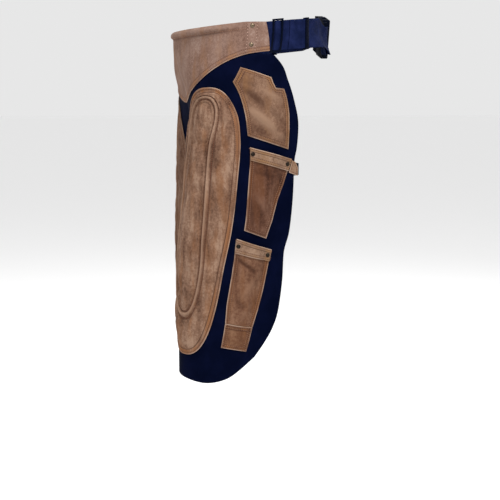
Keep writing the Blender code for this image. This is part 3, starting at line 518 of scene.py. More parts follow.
# %% The suede group
def build_suede_group():
    tree, given = new_group("suede nap", "ShaderNodeTree", [
        ("Vector", "Vector"), ("Edge", "Float", FAR_FROM_EDGE), ("Wear", "Float", 0.0),
        ("Main", "Color"), ("Light", "Color"), ("Dark", "Color"), ("Warm", "Color"), ("Raw", "Color"),
        ("Border Width", "Float", 0.010), ("First Seam", "Float", 0.004), ("Streak", "Float", 0.6),
    ], [("Color", "Color"), ("Roughness", "Float"), ("Height", "Float")])
    along = add(tree, "ShaderNodeMapping", {"Vector": given["Vector"], "Scale": (1.0, 1.0, 0.20)}).outputs[0]
    clouds = noise(tree, given["Vector"], 19.0, 3.0, 0.5)
    streaks = noise(tree, along, 64.0, 3.0, 0.50)
    mottle = noise(tree, given["Vector"], 185.0, 4.0, 0.65)
    grain = noise(tree, given["Vector"], 1100.0, 2.0, 0.6)
    hue = noise(tree, along, 41.0, 4.0, 0.6)
    lightness = 0.0
    for layer, share in ((clouds, 0.75), (streaks, given["Streak"]), (mottle, 0.80), (grain, 0.90)):
        lightness = scaled(tree, maths(tree, "SUBTRACT", layer, 0.5), share, lightness)
    shade = blend(tree, ramp(tree, lightness, -0.42, 0.04), given["Dark"], given["Main"])
    shade = blend(tree, ramp(tree, lightness, -0.02, 0.34), shade, given["Light"])
    shade = blend(tree, scaled(tree, ramp(tree, hue, 0.46, 0.70), 0.50), shade, given["Warm"])
    # Painted light from the shell's attribute: above 0 it mixes in a painted highlight, below 0 painted shade
    # and darker seam lines.
    painted_highlight, shade_and_seam_dark = (maths(tree, "MULTIPLY", given["Wear"], way, clamp=True) for way in (0.80, -0.80))
    shade = blend(tree, painted_highlight, shade, given["Light"])
    reach = maths(tree, "SUBTRACT", given["Border Width"], given["Edge"])
    patchy = scaled(tree, ramp(tree, hue, 0.38, 0.62), 0.90)
    border = maths(tree, "MULTIPLY", ramp(tree, reach, -0.0004, 0.0020), patchy)
    shade = blend(tree, border, shade, given["Warm"])
    first, second = (maths(tree, "ABSOLUTE", maths(tree, "SUBTRACT", given["Edge"], given[seam]))
                     for seam in ("First Seam", "Border Width"))
    seam = ramp(tree, scaled(tree, maths(tree, "MINIMUM", first, second), -1.0), -0.0016, -0.0002)
    shade = blend(tree, scaled(tree, seam, 0.80), shade, given["Dark"])
    # Painted shade in dips, grooves and under the roll, and darker seam lines.
    shade = blend(tree, shade_and_seam_dark, shade, given["Dark"])
    raw = ramp(tree, scaled(tree, given["Edge"], -1.0), -0.0020, -0.0009)
    raw = maths(tree, "MULTIPLY", raw, scaled(tree, ramp(tree, clouds, 0.40, 0.56), 0.75, 0.25))
    shade = blend(tree, scaled(tree, raw, 0.85), shade, given["Raw"])
    add(tree, "NodeGroupOutput", {"Color": shade, "Roughness": scaled(tree, mottle, 0.15, 0.80),
                                  "Height": scaled(tree, grain, 0.5, scaled(tree, mottle, 0.6))})
    return tree


SUEDE_GROUP = build_suede_group()

# %% Suede materials
RAW_EDGE = (196, 168, 148)
SUEDE_SHEEN = {"Specular IOR Level": 0.06, "Sheen Weight": 0.05, "Sheen Roughness": 0.45,
               "Sheen Tint": (0.95, 0.74, 0.58, 1.0)}


def material_base(name):
    made = bpy.data.materials.new(name)
    made.use_nodes = True
    tree = made.node_tree
    shader = tree.nodes["Principled BSDF"]
    place = tree.nodes.new("ShaderNodeTexCoord").outputs["Object"]
    return made, tree, shader, place


def dress(tree, shader, shade, rough, height, strength, distance, constants):
    """Links a look's colour, roughness and bump, and sets the values that don't vary."""
    bump = add(tree, "ShaderNodeBump", {"Height": height, "Strength": strength, "Distance": distance})
    for key, socket in (("Base Color", shade), ("Roughness", rough), ("Normal", bump.outputs[0])):
        tree.links.new(socket, shader.inputs[key])
    for key, value in constants.items():
        shader.inputs[key].default_value = value


def suede(row):
    made, tree, shader, place = material_base(f"{row.name} suede")
    inputs = {"Vector": place, "Edge": attribute(tree, "edge"), "Wear": attribute(tree, "wear"),
              "Main": colour(*row.main), "Light": colour(*row.light), "Dark": colour(*row.dark),
              "Warm": colour(*row.warm), "Raw": colour(*RAW_EDGE), "Border Width": row.border_width,
              "First Seam": row.first_seam, "Streak": row.streak}
    group = tree.nodes.new("ShaderNodeGroup")
    group.node_tree = SUEDE_GROUP
    for key, value in inputs.items():
        if isinstance(value, bpy.types.NodeSocket):
            tree.links.new(value, group.inputs[key])
        else:
            group.inputs[key].default_value = value
    dress(tree, shader, *(group.outputs[key] for key in ("Color", "Roughness", "Height")), 0.60, 0.0007,
          SUEDE_SHEEN)
    return made


Suede = namedtuple("Suede", "name main light dark warm border_width first_seam streak")
SUEDES = {row[0]: suede(Suede(*row)) for row in (
    ("yoke", (142, 111, 97), (168, 141, 128), (96, 68, 56), (154, 112, 82), 0.0105, 0.0040, 0.45),
    ("knee", (138, 104, 84), (178, 145, 122), (80, 52, 39), (152, 102, 66), 0.0110, 0.0040, 1.00),
    ("hip", (126, 93, 74), (162, 129, 106), (78, 51, 38), (148, 106, 70), 0.0085, 0.0040, 0.35),
    ("middle pocket", (104, 70, 54), (134, 98, 80), (62, 37, 28), (118, 74, 46), 0.0080, 0.0040, 1.00),
    ("pocket", (120, 83, 63), (152, 115, 92), (68, 41, 30), (134, 88, 56), 0.0080, 0.0040, 0.80),
    ("pocket foot", (118, 80, 58), (148, 110, 84), (66, 39, 28), (158, 106, 66), 0.0080, 0.0040, 0.80),
    ("band", (156, 124, 102), (186, 156, 132), (90, 64, 50), (158, 120, 84), 0.0075, 0.0030, 0.60),
    ("strap tab", (164, 134, 114), (190, 162, 140), (92, 64, 50), (160, 122, 92), 0.0030, 0.0030, 0.60),
)}

# %% [markdown]
# The leg panels are smooth leather, dyed almost black with a touch of blue. Its grain is a fine
# pebble of cells, so a Voronoi texture drives the bump, and a broad noise varies its dull gloss.
# The inner side is the raw flesh side, which is matt and charcoal grey.
# Webbing is woven: its warp runs along the strap and its weft across it, which two waves on the
# strap's own UV map can show. Moulded plastic and antique brass need only fine wear.

# %% Other materials


def black_leather():
    made, tree, shader, place = material_base("black leather")
    cells = add(tree, "ShaderNodeTexVoronoi", {"Vector": place, "Scale": 520.0}, feature="DISTANCE_TO_EDGE")
    broad = noise(tree, place, 24.0, 4.0)
    fine = noise(tree, place, 340.0, 3.0)
    shade = blend(tree, ramp(tree, broad, 0.35, 0.70), colour(4, 9, 32), colour(8, 14, 41))
    shade = blend(tree, scaled(tree, ramp(tree, fine, 0.60, 0.80), 0.25), shade, colour(16, 20, 44))
    flesh = attribute(tree, "flesh")
    nap = scaled(tree, fine, 0.5, scaled(tree, broad, 0.6))
    raw_side = blend(tree, ramp(tree, nap, 0.38, 0.72), colour(24, 26, 38), colour(54, 54, 64))
    rough = scaled(tree, flesh, 0.22, scaled(tree, broad, 0.12, 0.62))
    height = maths(tree, "MINIMUM", cells.outputs["Distance"], 0.25)
    dress(tree, shader, blend(tree, flesh, shade, raw_side), rough, height, 0.35, 0.0004,
          {"IOR": 1.2, "Specular IOR Level": 0.035})
    return made


def webbing(name, main, light, pick=0.0021, end=0.0016):
    """Woven strap: ribs across it `pick` apart, yarns along it `end` apart, on the UV map in metres."""
    made, tree, shader, place = material_base(name)
    flat = add(tree, "ShaderNodeUVMap", uv_map="cloth").outputs[0]
    parts = add(tree, "ShaderNodeSeparateXYZ", {"Vector": flat}).outputs
    along, cross = (maths(tree, "SINE", maths(tree, "MULTIPLY", parts[axis], math.tau / apart))
                    for axis, apart in (("X", pick), ("Y", end)))
    height = scaled(tree, maths(tree, "MULTIPLY", along, cross), 0.30, scaled(tree, cross, 0.25))
    broad = noise(tree, place, 40.0, 4.0)
    shade = blend(tree, ramp(tree, scaled(tree, height, 0.35, broad), 0.25, 0.85), main, light)
    dress(tree, shader, shade, scaled(tree, broad, 0.15, 0.66), height, 0.6, 0.0004,
          {"IOR": 1.3, "Specular IOR Level": 0.03})
    return made


def worn(name, main, worn_to, metallic, rough, scale, gloss=0.35):
    """Hard trim with fine scuffs: main colour, and where it is rubbed."""
    made, tree, shader, place = material_base(name)
    marks = noise(tree, place, scale, 5.0, 0.7)
    fine = noise(tree, place, scale * 6, 3.0)
    dress(tree, shader, blend(tree, ramp(tree, marks, 0.50, 0.72), main, worn_to),
          scaled(tree, marks, 0.22, rough), fine, 0.2, 0.0002,
          {"Metallic": metallic, "Specular IOR Level": gloss})
    return made


BLACK_LEATHER = black_leather()
BELT_WEB = webbing("belt webbing", colour(14, 23, 54), colour(33, 42, 84))
LEG_WEB = webbing("leg strap webbing", colour(6, 9, 24), colour(14, 19, 42))
PLASTIC = worn("moulded plastic", colour(2, 7, 24), colour(5, 12, 34), 0.0, 0.50, 160.0, 0.03)
BRASS = worn("antique brass", colour(138, 120, 98), colour(212, 196, 174), 1.0, 0.30, 500.0)
DARK_BRASS = worn("blackened brass", colour(46, 40, 36), colour(112, 100, 84), 1.0, 0.42, 500.0)
THREAD = worn("waxed thread", colour(168, 122, 98), colour(190, 150, 124), 0.0, 0.70, 700.0, 0.08)
RUST_THREAD = worn("rust thread", colour(150, 92, 72), colour(178, 124, 100), 0.0, 0.70, 700.0, 0.08)
PALE_THREAD = worn("pale thread", colour(184, 148, 132), colour(206, 174, 160), 0.0, 0.70, 700.0, 0.08)

# %% [markdown]
# Stitches are the apron's smallest parts and its most repeated ones. Geometry Nodes sets a short
# rounded thread at every pitch along a seam line. The line carries the surface's normal, so each
# stitch lies flat on the leather. The result is made one plain mesh, and the modifier goes.

# %% Stitches and rivets by Geometry Nodes


def face_normal(tree):
    return add(tree, "GeometryNodeInputNamedAttribute", {"Name": "face"}, data_type="FLOAT_VECTOR").outputs[0]


def aligned(tree, axis, vector, **settings):
    """A rotation that turns an axis towards a vector, after the turn given as `rotation`."""
    inputs = {"Vector": vector}
    if "rotation" in settings:
        inputs["Rotation"] = settings.pop("rotation")
    return add(tree, "FunctionNodeAlignRotationToVector", inputs, axis=axis, **settings).outputs[0]


def sphere(tree, segments, rings):
    return add(tree, "GeometryNodeMeshUVSphere", {"Segments": segments, "Rings": rings,
                                                  "Radius": 1.0}).outputs["Mesh"]


def set_out(tree, points, piece, turn, look, result):
    """Sets a smooth copy of a piece at each point, and gives them out as one mesh with one look."""
    smooth = add(tree, "GeometryNodeSetShadeSmooth", {"Geometry": piece}).outputs[0]
    copies = add(tree, "GeometryNodeInstanceOnPoints", {"Points": points, "Instance": smooth,
                                                        "Rotation": turn}).outputs[0]
    real = add(tree, "GeometryNodeRealizeInstances", {"Geometry": copies}).outputs[0]
    done = add(tree, "GeometryNodeSetMaterial", {"Geometry": real, "Material": look}).outputs[0]
    add(tree, "NodeGroupOutput", {result: done})


def stitch_tree():
    tree, given = new_group("stitches along seams", "GeometryNodeTree", [
        ("Seams", "Geometry"), ("Pitch", "Float", 0.0042), ("Size", "Vector", (0.0015, 0.00060, 0.00048)),
        ("Thread", "Material"),
    ], [("Stitches", "Geometry")])
    curve = add(tree, "GeometryNodeMeshToCurve", {"Mesh": given["Seams"]}).outputs[0]
    places = add(tree, "GeometryNodeResampleCurve", {"Curve": curve, "Length": given["Pitch"]},
                 mode="LENGTH").outputs[0]
    thread = add(tree, "GeometryNodeTransform", {"Geometry": sphere(tree, 6, 4),
                                                 "Scale": given["Size"]}).outputs[0]
    turn = aligned(tree, "X", tree.nodes.new("GeometryNodeInputTangent").outputs[0])
    turn = aligned(tree, "Z", face_normal(tree), rotation=turn, pivot_axis="X")
    set_out(tree, places, thread, turn, given["Thread"], "Stitches")
    return tree


def rivet_tree():
    tree, given = new_group("domed rivets", "GeometryNodeTree", [
        ("Seats", "Geometry"), ("Radius", "Float", 0.0046), ("Dome", "Float", 0.0018),
        ("Metal", "Material"),
    ], [("Rivets", "Geometry")])
    collar = add(tree, "GeometryNodeMeshCylinder", {"Vertices": 32, "Radius": given["Radius"],
                                                    "Depth": 0.0007}).outputs["Mesh"]
    collar = add(tree, "GeometryNodeTransform", {"Geometry": collar,
                                                 "Translation": (0, 0, 0.00035)}).outputs[0]
    wide = maths(tree, "MULTIPLY", given["Radius"], 0.86)
    size = add(tree, "ShaderNodeCombineXYZ", {"X": wide, "Y": wide, "Z": given["Dome"]}).outputs[0]
    dome = add(tree, "GeometryNodeTransform", {"Geometry": sphere(tree, 32, 16), "Scale": size,
                                               "Translation": (0, 0, 0.0002)}).outputs[0]
    both = tree.nodes.new("GeometryNodeJoinGeometry")
    for part in (dome, collar):
        tree.links.new(part, both.inputs[0])
    points = add(tree, "GeometryNodeMeshToPoints", {"Mesh": given["Seats"]}).outputs[0]
    turn = aligned(tree, "Z", face_normal(tree))
    set_out(tree, points, both.outputs[0], turn, given["Metal"], "Rivets")
    return tree


STITCH_TREE, RIVET_TREE = stitch_tree(), rivet_tree()


def grow(name, lines, tree, values):
    """Runs a tree over lines, a list of (points, normals), and keeps the result as a plain mesh."""
    points = np.concatenate([line for line, _ in lines])
    normals = np.concatenate([face for _, face in lines])
    edges, start = [], 0
    for line, _ in lines:
        edges += [(start + k, start + k + 1) for k in range(len(line) - 1)]
        start += len(line)
    mesh = bpy.data.meshes.new(f"{name}_path")
    mesh.from_pydata(points.tolist(), edges, [])
    mesh.attributes.new("face", "FLOAT_VECTOR", "POINT").data.foreach_set("vector", normals.ravel())
    path = put(f"{name}_path", mesh)
    modifier = path.modifiers.new("grow", "NODES")
    modifier.node_group = tree
    for item in tree.interface.items_tree:
        if item.item_type == "SOCKET" and item.in_out == "INPUT" and item.name in values:
            modifier[item.identifier] = values[item.name]
    path.update_tag()
    bpy.context.view_layer.update()
    grown = bpy.data.meshes.new_from_object(path.evaluated_get(bpy.context.evaluated_depsgraph_get()))
    path.modifiers.remove(modifier)
    bpy.data.objects.remove(path)
    grown.name = name
    return put(name, grown)


def seam_line(flat, place, out, lift=0.0002):
    """World points and normals of a seam over a flat line, on the face that `out` gives."""
    flat = np.asarray(flat, float)
    here = place(flat, out(flat) + lift)
    face = place(flat, out(flat) + 0.004) - here
    return here, face / np.linalg.norm(face, axis=1, keepdims=True)


def inset_path(corners, distance, closed=False):
    """A path moved to its left by a distance, corner by corner."""
    corners = np.asarray(corners, float)
    before = np.roll(corners, 1, axis=0)
    after = np.roll(corners, -1, axis=0)
    first, last = corners - before, after - corners
    if not closed:
        first[0], last[-1] = last[0], first[-1]
    first /= np.linalg.norm(first, axis=1, keepdims=True)
    last /= np.linalg.norm(last, axis=1, keepdims=True)
    left = np.stack([-(first + last)[:, 1], (first + last)[:, 0]], axis=1)
    left /= np.linalg.norm(left, axis=1, keepdims=True)
    square = np.stack([-first[:, 1], first[:, 0]], axis=1)
    stretch = np.clip((left * square).sum(axis=1), 0.45, 1.0)
    return corners + left * (distance / stretch)[:, None]


def evenly(line, step=0.0020, closed=False):
    """A path with points about `step` apart."""
    line = np.asarray(line, float)
    if closed:
        line = np.concatenate([line, line[:1]])
    length = np.linalg.norm(np.diff(line, axis=0), axis=1).sum()
    return spread_on(line, np.linspace(0, 1, max(2, int(length / step) + 1)))


SEAMS = {}


def sew(where, flat, place, out, thread="tan"):
    """Keeps a seam to be stitched when all pieces are in place."""
    SEAMS.setdefault((where, thread), []).append(seam_line(flat, place, out))


def finish_piece(piece, look, slot_name, *nodes):
    piece.data.materials.clear()
    piece.data.materials.append(look)
    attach(piece, "root")
    if nodes:
        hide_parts(*nodes)
    print(piece.name, len(piece.data.polygons), "faces")
    return piece


# %% [markdown]
# The leg panels are cut with a long sweep behind the thigh and a rounded hem. Their edges are kept
# as short tables on the flat, and the grid between them is filled in evenly, as a tailor's pattern
# is graded. Leather this heavy is hung and not gathered, so the shells keep the solids' form.

# %% Leg panels
SEAM = 0.0003
LAP = 0.00055
KNEE_LAP = 0.0012
BAND_LAP = 0.0009
PANEL = 0.0020
SUEDE = 0.0018
ON_PANEL = PANEL + LAP
ON_POCKET = ON_PANEL + SUEDE + BAND_LAP
Edge = namedtuple("Edge", "across level")
Waist = namedtuple("Waist", "girth level")
PANEL_TOP = [Waist(*row) for row in (
    (0.000, -0.1235), (0.030, -0.1200), (0.065, -0.1110), (0.100, -0.0970), (0.134, -0.0750),
    (0.156, -0.0595), (0.175, -0.0470), (0.200, -0.0345), (0.223, -0.0300), (0.247, -0.0320),
    (0.270, -0.0325), (0.285, -0.0372), (0.300, -0.0375),
)]
PANEL_REAR = [Edge(*row) for row in (
    (0.273, -0.0640), (0.267, -0.0960), (0.268, -0.1370), (0.274, -0.1850), (0.272, -0.2350),
    (0.268, -0.2650), (0.270, -0.3400), (0.269, -0.4150), (0.260, -0.4600), (0.259, -0.5250),
    (0.251, -0.5900), (0.238, -0.6270), (0.220, -0.6570), (0.196, -0.6890),
)]
PANEL_HEM = [Edge(*row) for row in (
    (-0.092, -0.6780), (-0.060, -0.7130), (-0.015, -0.7320), (0.040, -0.7410), (0.090, -0.7460),
    (0.131, -0.7370), (0.160, -0.7190), (0.196, -0.6890),
)]
PANEL_INNER = [Edge(*row) for row in (
    (-0.100, -0.2300), (-0.104, -0.3200), (-0.106, -0.4500), (-0.106, -0.5600), (-0.103, -0.6300),
    (-0.092, -0.6780),
)]
PANEL_ROWS, PANEL_COLUMNS = 150, 84
SEAM_SHARE = 0.08


def panel_top(share):
    girth = SEAM / 2 + (PANEL_TOP[-1].girth - SEAM / 2) * share
    level = through(PANEL_TOP, "girth", girth).level
    return np.stack([girth + centre_across(level), level], axis=-1)


def panel_inner(shares):
    top = panel_top(np.zeros(1))[0]
    crotch = np.array([SEAM / 2 + float(centre_across(np.array([CROTCH]))[0]), CROTCH])
    free = fine_curve([crotch, *PANEL_INNER])
    level = top[1] + (CROTCH - top[1]) * np.minimum(shares / SEAM_SHARE, 1.0)
    sewn = np.stack([SEAM / 2 + centre_across(level), level], axis=-1)
    loose = spread_on(free, np.clip((shares - SEAM_SHARE) / (1 - SEAM_SHARE), 0, 1))
    return np.where((shares <= SEAM_SHARE)[:, None], sewn, loose)


def panel_flat():
    """The panel's grid of flat points, filled in between its four edges."""
    u = np.linspace(0, 1, PANEL_ROWS + 1)
    v = np.linspace(0, 1, PANEL_COLUMNS + 1)
    top, hem = panel_top(v), spread_on(fine_curve(PANEL_HEM), v)
    left = panel_inner(u)
    right = spread_on(fine_curve([tuple(top[-1]), *PANEL_REAR]), u)
    u, v = u[:, None, None], v[None, :, None]
    return ((1 - u) * top[None] + u * hem[None] + (1 - v) * left[:, None] + v * right[:, None]
            - (1 - u) * (1 - v) * top[0] - (1 - u) * v * top[-1]
            - u * (1 - v) * hem[0] - u * v * hem[-1])


PANEL_GRID = panel_flat()
SIDES = (("left", 1), ("right", -1))


def panel_place(side):
    """The panel's own place: its sewn edge stays at the centre seam."""
    def place(flat, out):
        across, level = flat[..., 0], flat[..., 1]
        centre = centre_across(level)
        fade = np.clip((across - centre) / 0.03, 0, 1)
        points = on_leg(across, level, out + panel_rise(across, level) * fade, side)
        sewn = (level >= CROTCH - 0.000001) & (np.abs(across - centre) < 0.0008)
        points[..., 0] = np.where(sewn, side * SEAM / 2, points[..., 0])
        return points
    return place


def constant(value):
    return lambda flat: np.full(flat.shape[:-1], value)


for side_name, side in SIDES:
    piece = shell(f"{side_name}_leather_panel", PANEL_GRID, panel_place(side), constant(0.0), constant(PANEL))
    finish_piece(piece, BLACK_LEATHER, "black_leather", f"{side_name}_panel")

# %% [markdown]
# The yoke is one broad band with a deep V in front. Its top is rolled over and stitched down, which
# leaves a fat ridge with a groove under it, and its lower edge is sewn to the panels by two rows.
# The groove is given a painted shadow and the ridge's crown a painted highlight. A few soft dents
# keep the worn band from looking turned on a lathe.

# %% Yoke
YOKE_EDGE = [Waist(*row) for row in (
    (0.000, -0.1355), (0.030, -0.1320), (0.065, -0.1230), (0.100, -0.1090), (0.134, -0.0870),
    (0.156, -0.0715), (0.175, -0.0590), (0.200, -0.0460), (0.223, -0.0375), (0.247, -0.0325),
    (0.270, -0.0310), (0.291, -0.0305),
)]
YOKE_TOP, YOKE_END_TOP = 0.035, 0.0310
YOKE_REACH_TOP = 0.278
YOKE_TOP_FALL = 0.85
Roll = namedtuple("Roll", "down proud")
ROLL = [Roll(*row) for row in (
    (0.000, 0.0008), (0.003, 0.0042), (0.008, 0.0056), (0.012, 0.0040), (0.015, 0.0004), (0.020, 0.0000),
)]
ROLL_FADE = (0.150, 0.240)
YOKE_COLUMNS, ROLL_ROWS, YOKE_ROWS = 300, 16, 44
YOKE_SEAMS = (0.2400, 0.2590)
YOKE_SEAM_SPAN = (0.031, -0.026)
YOKE_FOOT_STITCHES = (0.0042, 0.0098)
ROLL_STITCH_REACH, ROLL_STITCH_DOWN, ROLL_STITCH_POINTS = 0.235, 0.0148, 240
YOKE_REACH = 0.285
# Painted shadow under the roll and painted highlight on its crown: where they fade out, where they lie and
# how broad they are. Last, the breadth of the darker lines along the upright seams.
ROLL_SHADE_END, ROLL_SHADE_FADE = 0.262, 0.09
UNDER_ROLL_DOWN, UNDER_ROLL_WIDTH = 0.0165, 0.0032
ROLL_CROWN_DOWN, ROLL_CROWN_WIDTH = 0.0050, 0.0040
SEAM_DARK_WIDTH = 0.0013
YOKE_CREASES = [Crease(*row) for row in (
    (0.020, -0.020, 0.045, -0.110, 0.0120, 0.0012),
    (-0.060, -0.010, -0.075, -0.090, 0.0140, 0.0013),
    (0.095, 0.005, 0.070, -0.080, 0.0150, 0.0011),
    (0.150, 0.010, 0.120, -0.060, 0.0130, -0.0006),
    (0.205, 0.018, 0.170, -0.035, 0.0120, 0.0012),
    (-0.180, 0.012, -0.140, -0.050, 0.0130, 0.0012),
    (-0.230, 0.015, -0.210, -0.028, 0.0110, -0.0006),
    (0.236, 0.030, 0.238, -0.030, 0.0045, -0.0005),
    (0.263, 0.030, 0.268, -0.028, 0.0045, -0.0005),
    (-0.020, -0.060, 0.030, -0.128, 0.0100, -0.0006),
)]


def smooth_step(share):
    share = np.clip(share, 0.0, 1.0)
    return share * share * (3 - 2 * share)


def yoke_top(place):
    beyond = np.maximum(0.0, np.abs(place) - YOKE_TOP_FALL) / (1 - YOKE_TOP_FALL)
    return YOKE_TOP + (YOKE_END_TOP - YOKE_TOP) * beyond


def yoke_flat():
    """Flat points of the yoke as (girth, level), denser in the rolled hem."""
    place = np.linspace(-1, 1, YOKE_COLUMNS + 1)[None, :]
    reach_bottom = YOKE_EDGE[-1].girth
    bottom = through(YOKE_EDGE, "girth", np.abs(place * reach_bottom)).level
    top = yoke_top(place)
    rolled = np.linspace(0, ROLL[-1].down, ROLL_ROWS)[:, None]
    rest = np.linspace(0, 1, YOKE_ROWS + 1)[1:, None]
    down = np.concatenate([rolled + 0 * place, ROLL[-1].down + (top - bottom - ROLL[-1].down) * rest])
    lean = down / (top - bottom)
    girth = place * (YOKE_REACH_TOP + (reach_bottom - YOKE_REACH_TOP) * lean)
    return np.stack([girth, top - down], axis=-1)


def yoke_place(flat, out):
    return on_waist(flat[..., 0], flat[..., 1], out)


def yoke_outer(flat):
    girth, level = flat[..., 0], flat[..., 1]
    down = yoke_top(girth / YOKE_REACH) - level
    start, end = ROLL_FADE
    fade = smooth_step((end - np.abs(girth)) / (end - start))
    lift = through(ROLL, "down", np.maximum(down, 0)).proud * fade
    calm = smooth_step((down - 0.014) / 0.02) * smooth_step((0.27 - np.abs(girth)) / 0.03 + 0.5)
    return ON_PANEL + SUEDE + lift + crease_rise(YOKE_CREASES, girth, level) * calm


def yoke_inner(flat):
    girth, level = flat[..., 0], flat[..., 1]
    return ON_PANEL + np.maximum(crease_rise(YOKE_CREASES, girth, level) - 0.0003, 0.0)


def yoke_shade_and_seams(flat):
    """Painted shadow in the step under the roll, a painted highlight on the roll's crown, darker lines
    along the upright seams, and painted shade and highlight from the dents.
    """
    girth, level = flat[..., 0], flat[..., 1]
    down = yoke_top(girth / YOKE_REACH) - level
    fade = smooth_step((ROLL_SHADE_END - np.abs(girth)) / ROLL_SHADE_FADE)
    # Painted shadow under the roll, then darker lines along the upright seams.
    under = np.exp(-((down - UNDER_ROLL_DOWN) / UNDER_ROLL_WIDTH) ** 2) * fade
    under += sum(0.8 * np.exp(-((np.abs(girth) - seam) / SEAM_DARK_WIDTH) ** 2) for seam in YOKE_SEAMS)
    crown_highlight = np.exp(-((down - ROLL_CROWN_DOWN) / ROLL_CROWN_WIDTH) ** 2) * fade
    return shade_by_rise(crease_rise(YOKE_CREASES, girth, level), 0.7) - 0.75 * under + 0.35 * crown_highlight


YOKE_GRID = yoke_flat()
yoke_foot = YOKE_GRID[-1]
yoke = shell("yoke_shell", YOKE_GRID, yoke_place, yoke_inner, yoke_outer, edge=[yoke_foot[::4]],
             wear=yoke_shade_and_seams)
finish_piece(yoke, SUEDES["yoke"], "suede", "yoke")

for distance in YOKE_FOOT_STITCHES:
    sew("yoke", evenly(inset_path(yoke_foot[4:-4:3], distance)), yoke_place, yoke_outer)
for _, side in SIDES:
    for girth in YOKE_SEAMS:
        line = [(side * girth, level) for level in YOKE_SEAM_SPAN]
        sew("yoke", evenly(line), yoke_place, yoke_outer, "pale")
roll_line = np.stack([np.linspace(-ROLL_STITCH_REACH, ROLL_STITCH_REACH, ROLL_STITCH_POINTS),
                      np.full(ROLL_STITCH_POINTS, YOKE_TOP - ROLL_STITCH_DOWN)], axis=1)
sew("yoke", roll_line, yoke_place, yoke_outer)

# %% [markdown]
# The knee patches are padded: suede over a soft filling, held down by a sewn border and by a corded
# oval that stops the filling from sliding. Both outlines are rounded ovals along a bent axis. The
# suede is simulated as cloth while it lies flat: it is cut a little large, pinned along its seams
# and blown up from below, so it swells and wrinkles as slack leather does. The heights are then laid
# on the leg. Rows of points that follow the seams carry the cord's ridge and its two grooves.

# %% Knee patches
Knee = namedtuple("Knee", "level axis patch oval")
KNEE = [Knee(*row) for row in (
    (-0.100, 0.084, 0.100, 0.060), (-0.130, 0.071, 0.101, 0.058), (-0.170, 0.057, 0.108, 0.051),
    (-0.220, 0.044, 0.112, 0.042), (-0.300, 0.039, 0.105, 0.039), (-0.420, 0.039, 0.098, 0.040),
    (-0.500, 0.038, 0.090, 0.045), (-0.600, 0.037, 0.086, 0.045), (-0.690, 0.037, 0.084, 0.044),
)]
PATCH_SPAN = (-0.1005, -0.6860)
OVAL_SPAN = (-0.1220, -0.5960)
SPINE_SPAN = (-0.1700, -0.5500)
KNEE_ROUND = 0.8
KNEE_EASE = 0.25
KNEE_POINTS = 280
Ring = namedtuple("Ring", "share lift")
PATCH_RINGS = [Ring(*row) for row in (
    (0.00, 0.0000), (0.08, 0.0004), (0.15, 0.0005), (0.21, 0.0022), (0.29, 0.0042), (0.50, 0.0062),
    (0.72, 0.0062), (0.80, 0.0048), (0.87, 0.0014), (0.905, 0.0014), (0.95, 0.0048), (1.00, 0.0060),
)]
OVAL_RINGS = [Ring(*row) for row in (
    (0.00, 0.0060), (0.045, 0.0048), (0.095, 0.0014), (0.135, 0.0014), (0.21, 0.0048), (0.34, 0.0066),
    (0.65, 0.0076), (1.00, 0.0080),
)]
OUTER_GROOVE, INNER_GROOVE = 0.887, 0.115
PATCH_SHARES = np.concatenate([np.linspace(0, 0.3, 13)[:-1], np.linspace(0.3, 0.76, 14)[:-1],
                               np.linspace(0.76, 1, 17)[:-1]])
OVAL_SHARES = np.concatenate([np.linspace(0, 0.24, 17)[:-1], np.linspace(0.24, 1, 22)])
QUILT_STEP = 0.0042
QUILT_SLACK = 0.020
QUILT_MOST = 0.0074
KNEE_BORDER = 0.0108
KNEE_RIM_STITCHES = (0.0042, 0.0104)
BORDER_SEAT, GROOVE_SEAT = 0.0005, 0.0022
FIELD_LOW, FIELD_RISE, FIELD_RUN = 0.0018, 0.0040, 0.020
# Painted shade laid over the whole right knee patch.
RIGHT_PAINTED_SHADE = -0.50
RIGHT_TOP_LIFT = 0.30


def knee_outline(span, column, turn):
    """Flat points of the patch or oval outline; turn 0 is its top and a quarter turn its outer side."""
    middle, half = (span[0] + span[1]) / 2, (span[0] - span[1]) / 2
    turn = turn - KNEE_EASE * np.sin(2 * turn) / 2
    up = np.sign(np.cos(turn)) * np.abs(np.cos(turn)) ** KNEE_ROUND
    out = np.sign(np.sin(turn)) * np.abs(np.sin(turn)) ** KNEE_ROUND
    level = middle + half * up
    row = through(KNEE, "level", level)
    return np.stack([row.axis + getattr(row, column) * out, level], axis=-1)


def knee_point(zone, share, turn):
    """Flat point in a zone of the patch: `patch` from border to oval, `oval` from there to the spine."""
    oval = knee_outline(OVAL_SPAN, "oval", turn)
    if zone == "patch":
        start, end = knee_outline(PATCH_SPAN, "patch", turn), oval
    else:
        middle, half = sum(SPINE_SPAN) / 2, (SPINE_SPAN[0] - SPINE_SPAN[1]) / 2
        level = middle + half * np.cos(turn)
        start, end = oval, np.stack([through(KNEE, "level", level).axis, level], axis=-1)
    return start + (end - start) * np.asarray(share)[..., None]


def wavelet(flat, seed, scale, count=9):
    """Smooth uneven swell of about -1 to 1 over the flat, from a few waves in fixed directions."""
    draw = np.random.default_rng(seed)
    total = np.zeros(flat.shape[:-1])
    for _ in range(count):
        turn, phase, size = draw.uniform(0, math.tau), draw.uniform(0, math.tau), draw.uniform(0.6, 1.7)
        run = flat[..., 0] * math.cos(turn) * 1.6 + flat[..., 1] * math.sin(turn)
        total += np.sin(run * size / scale + phase)
    return total / count * 1.8


def inside(outline, points):
    """Which flat points lie within a closed outline."""
    x, y = points[..., 0], points[..., 1]
    odd = np.zeros(x.shape, bool)
    for (x0, y0), (x1, y1) in zip(outline, np.roll(outline, -1, axis=0)):
        crosses = (y0 > y) != (y1 > y)
        odd ^= crosses & (x < (x1 - x0) * (y - y0) / (y1 - y0 if y1 != y0 else 1.0) + x0)
    return odd


